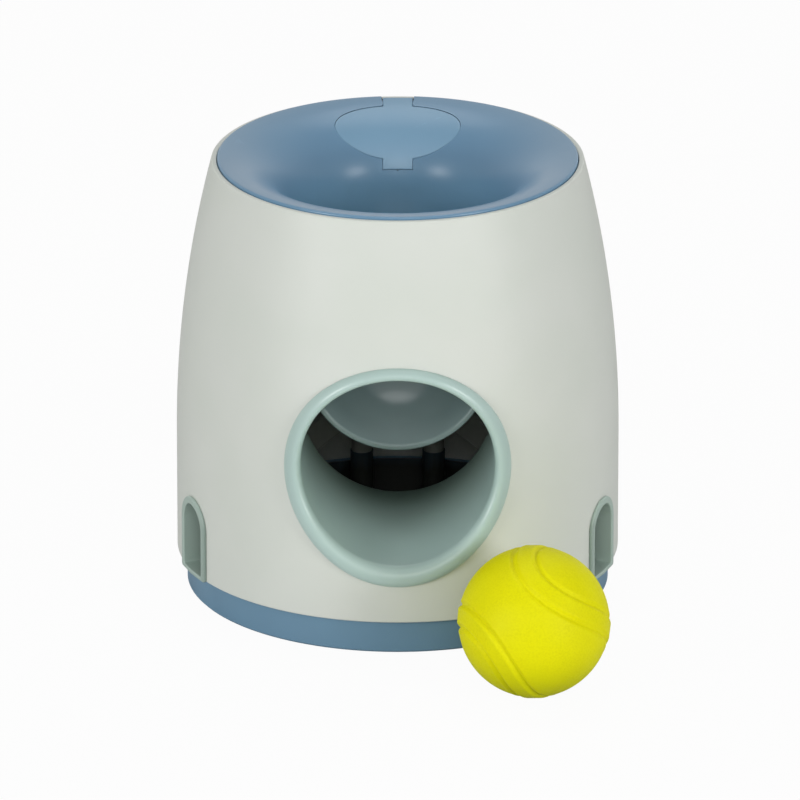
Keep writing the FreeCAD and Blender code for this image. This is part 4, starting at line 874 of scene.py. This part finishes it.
def funnelSheet():
    side, slot, around = funnel["openingSide"], funnel["tab"]["half"], funnel["around"]
    rows = funnel["rows"]
    rise = evenSteps(0, throatEnd, rows["throat"]) + evenSteps(throatEnd, bendEnd, rows["bend"])
    rise += evenSteps(bendEnd, edgeRun, rows["dish"], 1)
    overRim = evenSteps(dishEnd, rimEnd, rows["rim"], 1) + evenSteps(rimEnd, skirtEnd, rows["skirt"], 1)[1:]
    far, near, away = openingLines(rise)
    edge = roundingSteps(funnel["edgeRounding"])
    spots, faces = [], []

    def addGrid(grid):
        faces.extend(gridFaces(len(grid), len(grid[0]), first=len(spots)))
        for row in grid:
            spots.extend(row)

    for mirror in (1, -1):
        rings = [[(x + out * nx, run + out * ny, depth) for (x, run), (nx, ny) in zip(near, away)]
                 for out, depth in edge]
        inner = rings[-1]
        for share in funnel["openingRings"]:
            rings.append([(a[0] + share * (b[0] - a[0]), a[1] + share * (b[1] - a[1]), 0)
                          for a, b in zip(inner, far)])
        addGrid([[spotAt(mirror * x, run, depth) for x, run, depth in ring] for ring in rings])
        columns = [(slot + out, depth) for out, depth in edge]
        columns += [(x, 0) for x, _ in far[1:funnel["openingColumns"] + 1]]
        addGrid([[spotAt(mirror * x, run, depth) for x, depth in columns] for run in [edgeRun] + overRim])
    grid = []
    for run in rise + overRim:
        start = math.asin(side / profileAt(run)[0])
        turn = 2 * math.pi - 2 * start
        grid.append([(run, start + turn * step / around, 0) for step in range(around + 1)])
    addGrid(grid)
    return thickSheet(spots, faces, funnel["wall"])


def makeFunnel():
    shape = [funnelSheet()]
    ears = funnel["ears"]
    (nearY, farY), (lowZ, highZ) = ears["y"], ears["z"]
    size = (ears["far"] - ears["near"], farY - nearY, highZ - lowZ)
    for turn in (1, -1):
        centre = (turn * (ears["near"] + ears["far"]) / 2, (nearY + farY) / 2, (lowZ + highZ) / 2)
        shape.append(roundedBlock(centre, size, ears["rounding"]))
    shape += turnedPosts(funnel["posts"])
    piece = makePiece("funnelDish", *joinParts(*shape), materials["funnelPlastic"])
    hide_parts("funnel")
    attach(piece, "casing")


# Fill lid: the same skin inside the opening, with a hinge barrel at the rim and a finger tab in the throat

lid = {
    "gap": 0.42,
    "wall": 1.9,
    "edgeRounding": 0.45,
    "rimGap": 0.86,
    "rays": 260,
    "nearLevel": 0.01,
    "edgePoints": 230,
    "rings": 26,
    "hinge": (65.0, 170.1),
    "barrel": {"radius": 1.7, "half": 5.8, "rounding": 0.3, "around": 40},
}


def evenPoints(line, count):
    # The same line with a number of points at even distances along it.
    lengths = [0]
    for (ax, ay), (bx, by) in zip(line, line[1:]):
        lengths.append(lengths[-1] + math.hypot(bx - ax, by - ay))
    spots = np.linspace(0, lengths[-1], count)
    xs = np.interp(spots, lengths, [point[0] for point in line])
    ys = np.interp(spots, lengths, [point[1] for point in line])
    return list(zip(xs.tolist(), ys.tolist()))


def lidLoop():
    # The lid's closed outline as (across, run), cut off straight below the rim.
    top = dishEnd - lid["rimGap"]
    angles, reaches = shieldRays(lid["gap"], top)
    outline = []
    for angle in evenSteps(0, math.pi, lid["rays"], 1):
        reach = float(np.interp(angle, angles, reaches))
        if math.cos(angle) < -lid["nearLevel"]:
            reach = min(reach, (top - shieldRun) / -math.cos(angle))
        outline.append((reach * math.sin(angle), shieldRun - reach * math.cos(angle)))
    half = evenPoints(outline, lid["edgePoints"])
    return half + [(-x, run) for x, run in reversed(half[1:-1])]


def makeLid():
    loop = lidLoop()
    inward = lineNormals(loop, True)
    grid = []
    for away, depth in roundingSteps(lid["edgeRounding"]):
        grid.append([(x + away * nx, run + away * ny, depth) for (x, run), (nx, ny) in zip(loop, inward)])
    inner = grid[-1]
    for step in range(1, lid["rings"] + 1):
        share = step / lid["rings"]
        grid.append([(x * (1 - share), run + (shieldRun - run) * share, 0) for x, run, _ in inner])
    spots = [spotAt(*spot) for ring in grid for spot in ring]
    shape = [thickSheet(spots, gridFaces(len(grid), len(loop), False, True), lid["wall"])]
    barrel = lid["barrel"]
    radius, end, rounding = barrel["radius"], barrel["half"], barrel["rounding"]
    outline = [(nearAxis, -end), (radius, -end, rounding), (radius, end, rounding), (nearAxis, end)]
    points, faces = latheGrid(roundedOutline(outline, 3), barrel["around"])
    y, z = lid["hinge"]
    shape.append(([(pz, py + y, px + z) for px, py, pz in points], faces))
    piece = makePiece("fillLid", *joinParts(*shape), materials["lidPlastic"])
    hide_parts("fill_lid")
    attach(piece, "lid")


makeFunnel()
makeLid()
print("funnel and lid are made")


# Front tube: a sloping pipe with a rounded lip that lies on the casing

tube = {
    "slope": 7,
    "frontHeight": 72,
    "inside": 36.8,
    "outside": 39,
    "lip": 43.1,
    "lipHeight": 3.0,
    "lipGap": 0.2,
    "lipSink": 1.4,
    "lipSteps": 20,
    "rootStep": 0.6,
    "mouthLift": 2.2,
    "lipLift": 0.6,
    "rearLow": (-20, 66),
    "rearHigh": (-36, 74),
    "rearRounding": 0.5,
    "rearBevel": 0.15,
    "span": (-20, 110),
    "around": 192,
    "insideShares": (1, 0.97, 0.9, 0.75, 0.6, 0.45, 0.3, 0.15),
    "outsideShares": (0.2, 0.4, 0.6, 0.8, 0.95, 1),
    "posts": {"places": [(14, -50), (-14, -50)], "bottom": 28, "top": 40.6, "radius": 4.4},
}


def tubePoint(turn, distance, along, lift):
    # A point by its angle round the tube's axis, its distance from it and its place along it.
    slope = math.radians(tube["slope"])
    x = distance * math.cos(turn)
    up = distance * math.sin(turn)
    y = -casing["radius"] + along * math.cos(slope) - up * math.sin(slope)
    z = tube["frontHeight"] + along * math.sin(slope) + up * math.cos(slope)
    return x, y, z + lift


def outsideCasing(point):
    # How far a point lies outside the casing's outer face.
    x, y, z = point
    across = math.hypot(x, y)
    rise = z - casing["straightTop"]
    if rise <= 0:
        return across - casing["radius"]
    return math.hypot(across - casing["radius"] + casing["sideCurve"], rise) - casing["sideCurve"]


def beforeRear(point):
    # Whether a point of the wall lies in front of the tube's stepped rear edge.
    _, y, z = point
    (lowY, lowZ), (highY, highZ) = tube["rearLow"], tube["rearHigh"]
    share = min(1, max(0, (z - lowZ) / (highZ - lowZ)))
    return y < lowY + share * (highY - lowY)


def reachAlong(turn, distance, test, lift=0):
    # The place along the tube where a test of the point turns from true to false.
    return lastHeld(lambda along: test(tubePoint(turn, distance, along, lift)), *tube["span"])


def lipBead():
    # The lip's half-round bead: distance from the axis, height over the casing, lift above the axis.
    inside, half = tube["inside"], (tube["lip"] - tube["inside"]) / 2
    bead = []
    for turn in evenSteps(0, math.pi, tube["lipSteps"], 1):
        foot = -tube["lipSink"] if turn < math.pi / 2 else tube["lipGap"]
        out = 1 - math.cos(turn)
        lift = tube["mouthLift"] + (tube["lipLift"] - tube["mouthLift"]) * out / 2
        bead.append((inside + half * out, foot + (tube["lipHeight"] - foot) * math.sin(turn), lift))
    bead.append((tube["outside"] + tube["rootStep"], tube["lipGap"], tube["lipLift"]))
    return bead


def tubeSection(turn, bead):
    # Points round the wall at an angle, from the inside of the rear over the lip to the outside of the rear.
    inside, outside, rear, bevel = tube["inside"], tube["outside"], tube["rearRounding"], tube["rearBevel"]
    mouthLift, lipLift = tube["mouthLift"], tube["lipLift"]

    def overCasing(distance, over, lift):
        return reachAlong(turn, distance, lambda spot: outsideCasing(spot) > over, lift)

    mouth = overCasing(inside, -tube["lipSink"], mouthLift)
    innerRear = reachAlong(turn, inside, beforeRear)
    outerRear = reachAlong(turn, outside, beforeRear)
    section = [(inside, mouth + (innerRear - rear - mouth) * share, mouthLift * (1 - share))
               for share in tube["insideShares"]]
    section += [(distance, overCasing(distance, over, lift), lift) for distance, over, lift in bead]
    root = section[-1][1]
    section.append((outside, root + tube["rootStep"], lipLift))
    section += [(outside, root + (outerRear - rear - root) * share, lipLift * (1 - share))
                for share in tube["outsideShares"]]
    section += [(outside - bevel, outerRear - bevel, 0), (outside - rear, outerRear, 0)]
    section += [(inside + rear, innerRear, 0), (inside + bevel, innerRear - bevel, 0)]
    return [tubePoint(turn, *spot) for spot in section]


def makeTube():
    around, bead = tube["around"], lipBead()
    points = []
    for turn in evenSteps(0, 2 * math.pi, around):
        points += tubeSection(turn, bead)
    shape = [(points, gridFaces(around, len(points) // around, True, True))] + turnedPosts(tube["posts"])
    piece = makePiece("frontTube", *joinParts(*shape), materials["tubePlastic"], bluntAngle)
    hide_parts("exit_tube")
    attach(piece, "casing")


# Treat exits: arched sleeves with a narrow lip, one to each side of the front

exitLiner = {
    "inside": 8.4,
    "sleeve": 10.2,
    "lip": 11.3,
    "spring": 34,
    "arcSteps": 30,
    "floor": 15.6,
    "foot": 14.1,
    "floorCorner": 1.0,
    "sideRows": (6, 14),
    "rear": 69.5,
    "rearBevel": 0.3,
    "insideRows": (0.3, 5, 10),
    "sleeveRows": (6, 0.3),
    "lipHeight": 1.2,
    "lipGap": 0.2,
    "lipRounding": 0.55,
}


def linerLoop(half, low):
    # The arch's outline with as many points whatever its size.
    side = [(0, low), (half, low, exitLiner["floorCorner"])]
    side += [(half, low + rise) for rise in exitLiner["sideRows"]]
    side = roundedOutline(side, 4)
    arch = arcPoints((0, exitLiner["spring"]), half, 0, 180, exitLiner["arcSteps"])
    return side + arch + [(-across, z) for across, z in reversed(side[1:])]


def linerRings():
    # Rings of the section: half width, floor, then a height over the casing or a place from its middle.
    inside, sleeve, lip = exitLiner["inside"], exitLiner["sleeve"], exitLiner["lip"]
    floor, foot, rear = exitLiner["floor"], exitLiner["foot"], exitLiner["rear"]
    bevel, rounding, height = exitLiner["rearBevel"], exitLiner["lipRounding"], exitLiner["lipHeight"]
    edges = [(edge, height - drop) for drop, edge in roundingSteps(rounding)]
    rings = [(inside + bevel, floor - bevel, None, rear)]
    rings += [(inside, floor, None, rear + step) for step in exitLiner["insideRows"]]
    rings += [(inside + edge, floor - edge, over, None) for edge, over in reversed(edges)]
    rings += [(lip - edge, foot + edge / 4, over, None) for edge, over in edges]
    rings += [(half, foot, exitLiner["lipGap"], None) for half in (lip, sleeve)]
    rings += [(sleeve, foot, None, rear + step) for step in exitLiner["sleeveRows"]]
    rings.append((sleeve - bevel, foot + bevel, None, rear))
    return rings


def makeExitLiner(side):
    turn = Matrix.Rotation(math.radians(casing["exits"][side]), 3, "Z")
    rings = linerRings()
    points = []
    for half, low, over, place in rings:
        for across, z in linerLoop(half, low):
            reach = place or math.sqrt((casing["radius"] + over) ** 2 - across ** 2)
            points.append(turn @ Vector((reach, across, z)))
    faces = gridFaces(len(rings), len(points) // len(rings), True, True)
    piece = makePiece(side + "ExitLiner", points, faces, materials[side + "Liner"], bluntAngle)
    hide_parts("treat_exit_liner_" + side)
    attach(piece, "casing")


makeTube()
for side in casing["exits"]:
    makeExitLiner(side)
print("front tube and treat exits are made")


# Scoop: half a trough that ends in a bowl, hung on two trunnions

scoop = {
    "inside": 33.6,
    "outside": 35.8,
    "axis": 96.4,
    "front": -23,
    "frontTop": 80,
    "backTop": 103,
    "backMargin": 1,
    "rimRounding": 1.0,
    "rimFlat": 0.02,
    "frontRounding": 0.7,
    "roundingSteps": 5,
    "ribs": 40,
    "ribSteps": 26,
    "troughRibs": 14,
    "steepest": 150,
    "pivot": (12, 78),
    "pivotRounding": 0.5,
    "pivotAround": 64,
    "boss": {"radius": 7, "from": 31.5, "to": 36.9},
    "trunnion": {"radius": 4, "from": 33, "to": 48.4},
}


def rimHeight(y):
    # The rim lies on one slanting plane from the trough's front to the bowl's back.
    front = scoop["front"]
    slope = (scoop["backTop"] - scoop["frontTop"]) / (scoop["outside"] + scoop["backMargin"] - front)
    return scoop["frontTop"] + (y - front) * slope


def rimAngle(heading, place, radius, drop):
    # Angle from the lowest point to a drop below the rim, for a heading in the bowl or a place in the trough.
    def underRim(angle):
        y = place if heading is None else radius * math.sin(angle) * math.sin(heading)
        return scoop["axis"] - radius * math.cos(angle) < rimHeight(y) - drop

    return lastHeld(underRim, 0, math.radians(scoop["steepest"]))


def scoopRib(heading, place, inset):
    # One rib as (radius, angle) points, from the lowest point inside over the rim to the lowest outside.
    inner, outer = scoop["inside"] + inset, scoop["outside"] - inset
    rounding = min(scoop["rimRounding"], (outer - inner) / 2 - scoop["rimFlat"])
    edge = roundingSteps(rounding, scoop["roundingSteps"])

    def wallLine(radius):
        top = rimAngle(heading, place, radius, rounding)
        return [(radius, angle) for angle in evenSteps(0, top, scoop["ribSteps"], 1)]

    def rimPoint(radius, drop):
        return radius, rimAngle(heading, place, radius, drop)

    rib = wallLine(inner) + [rimPoint(inner + out, drop) for out, drop in edge[1:]]
    rib += [rimPoint(outer - out, drop) for drop, out in edge[:-1]]
    return rib + wallLine(outer)[::-1]


def scoopRibs():
    # Each rib as (side, heading or None, place along the trough, how far both faces move in).
    front, edge = scoop["front"], scoop["frontRounding"]
    trough = [(front + along, inset) for along, inset in roundingSteps(edge, scoop["roundingSteps"])]
    trough += [(place, 0) for place in evenSteps(front + edge, 0, scoop["troughRibs"], 1)[1:]]
    ribs = [(-1, None, place, inset) for place, inset in trough]
    ribs += [(1, heading, 0, 0) for heading in evenSteps(math.pi, 0, scoop["ribs"])[1:]]
    return ribs + [(1, None, place, inset) for place, inset in reversed(trough)]


def makeScoop():
    ribs = scoopRibs()
    points = []
    for side, heading, place, inset in ribs:
        for radius, angle in scoopRib(heading, place, inset):
            across, z = radius * math.sin(angle), scoop["axis"] - radius * math.cos(angle)
            if heading is None:
                points.append((side * across, place, z))
            else:
                points.append((across * math.cos(heading), across * math.sin(heading), z))
    rows, columns = len(ribs), len(points) // len(ribs)
    faces = gridFaces(rows, columns)
    # The trough's front edge, a narrow strip from the inner to the outer face.
    for start in (0, (rows - 1) * columns):
        for index in range(columns // 2 - 1):
            last = start + columns - 1 - index
            faces.append((start + index, start + index + 1, last - 1, last))
    shape = [(points, faces)]
    y, z = scoop["pivot"]
    for turn in (1, -1):
        for name in ("boss", "trunnion"):
            radius, start, end = scoop[name]["radius"], scoop[name]["from"], scoop[name]["to"]
            rim = (radius, end, scoop["pivotRounding"])
            outline = [(nearAxis, start), (radius, start), rim, (nearAxis, end)]
            ringPoints, ringFaces = latheGrid(roundedOutline(outline, 4), scoop["pivotAround"])
            shape.append(([(turn * pz, y + px, z + py) for px, py, pz in ringPoints], ringFaces))
    piece = makePiece("ballScoop", *joinParts(*shape), materials["scoopPlastic"], bluntAngle)
    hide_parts("scoop")
    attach(piece, "scoop")


# Ball: foam rubber with a seam band like a tennis ball's, raised between two grooves

ball = {
    "radius": 29,
    "centre": (51.4, -120.5, 29),
    "cells": 96,
    "sharp": 80,
    "seamShape": (0.754, 0.246),
    "seamTurn": ((0.8994, 0.1022, -0.425), (-0.4051, 0.5601, -0.7226), (0.1642, 0.8221, 0.5452)),
    "seamPoints": 900,
    "grooveAt": 8.6,
    "grooveWidth": 1.7,
    "grooveDepth": 1.05,
    "bandRise": 0.3,
    "bandSteepness": 2,
    "swell": {"rise": 0.12, "at": 2.1, "width": 0.6},
}


def seamAngles(directions):
    # Angle in degrees from each direction to the nearest point of the seam line.
    a, b = ball["seamShape"]
    t = np.linspace(0, 2 * math.pi, ball["seamPoints"], endpoint=False)
    line = np.stack([a * np.cos(t) + b * np.cos(3 * t), a * np.sin(t) - b * np.sin(3 * t),
                     2 * math.sqrt(a * b) * np.sin(2 * t)])
    line = np.array(ball["seamTurn"]) @ (line / np.linalg.norm(line, axis=0))
    batch = 8000
    nearest = [(directions[start:start + batch] @ line).max(axis=1)
               for start in range(0, len(directions), batch)]
    return np.degrees(np.arccos(np.clip(np.concatenate(nearest), -1, 1)))


def makeBall():
    # Six square patches blown up to a sphere, so that the cells are about the same size all over.
    cells = ball["cells"]
    spots = np.tan(np.linspace(-math.pi / 4, math.pi / 4, cells + 1))
    u, v = np.meshgrid(spots, spots, indexing="ij")
    one = np.ones_like(u)
    patches = [(one, u, v), (-one, v, u), (v, one, u), (u, -one, v), (u, v, one), (v, u, -one)]
    directions, faces = [], []
    for patch in patches:
        flat = np.stack(patch, axis=-1).reshape(-1, 3)
        faces += gridFaces(cells + 1, cells + 1, first=len(directions) * (cells + 1) ** 2)
        directions.append(flat / np.linalg.norm(flat, axis=1)[:, None])
    directions = np.concatenate(directions)
    fromGroove = (seamAngles(directions) - ball["grooveAt"]) / ball["grooveWidth"]
    lift = -ball["grooveDepth"] * np.exp(-fromGroove ** 2)
    lift += ball["bandRise"] / (1 + np.exp(fromGroove * ball["bandSteepness"]))
    # A slight swell along both edges of the groove.
    swell = ball["swell"]
    lift += swell["rise"] * np.exp(-(np.abs(fromGroove) - swell["at"]) ** 2 / swell["width"])
    lift -= lift.max()
    points = np.array(ball["centre"]) + directions * (ball["radius"] + lift)[:, None]
    piece = makePiece("foamBall", points.tolist(), faces, materials["ballFoam"], ball["sharp"])
    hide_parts("ball")
    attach(piece, "ball")


makeScoop()
makeBall()
print("scoop and ball are made")
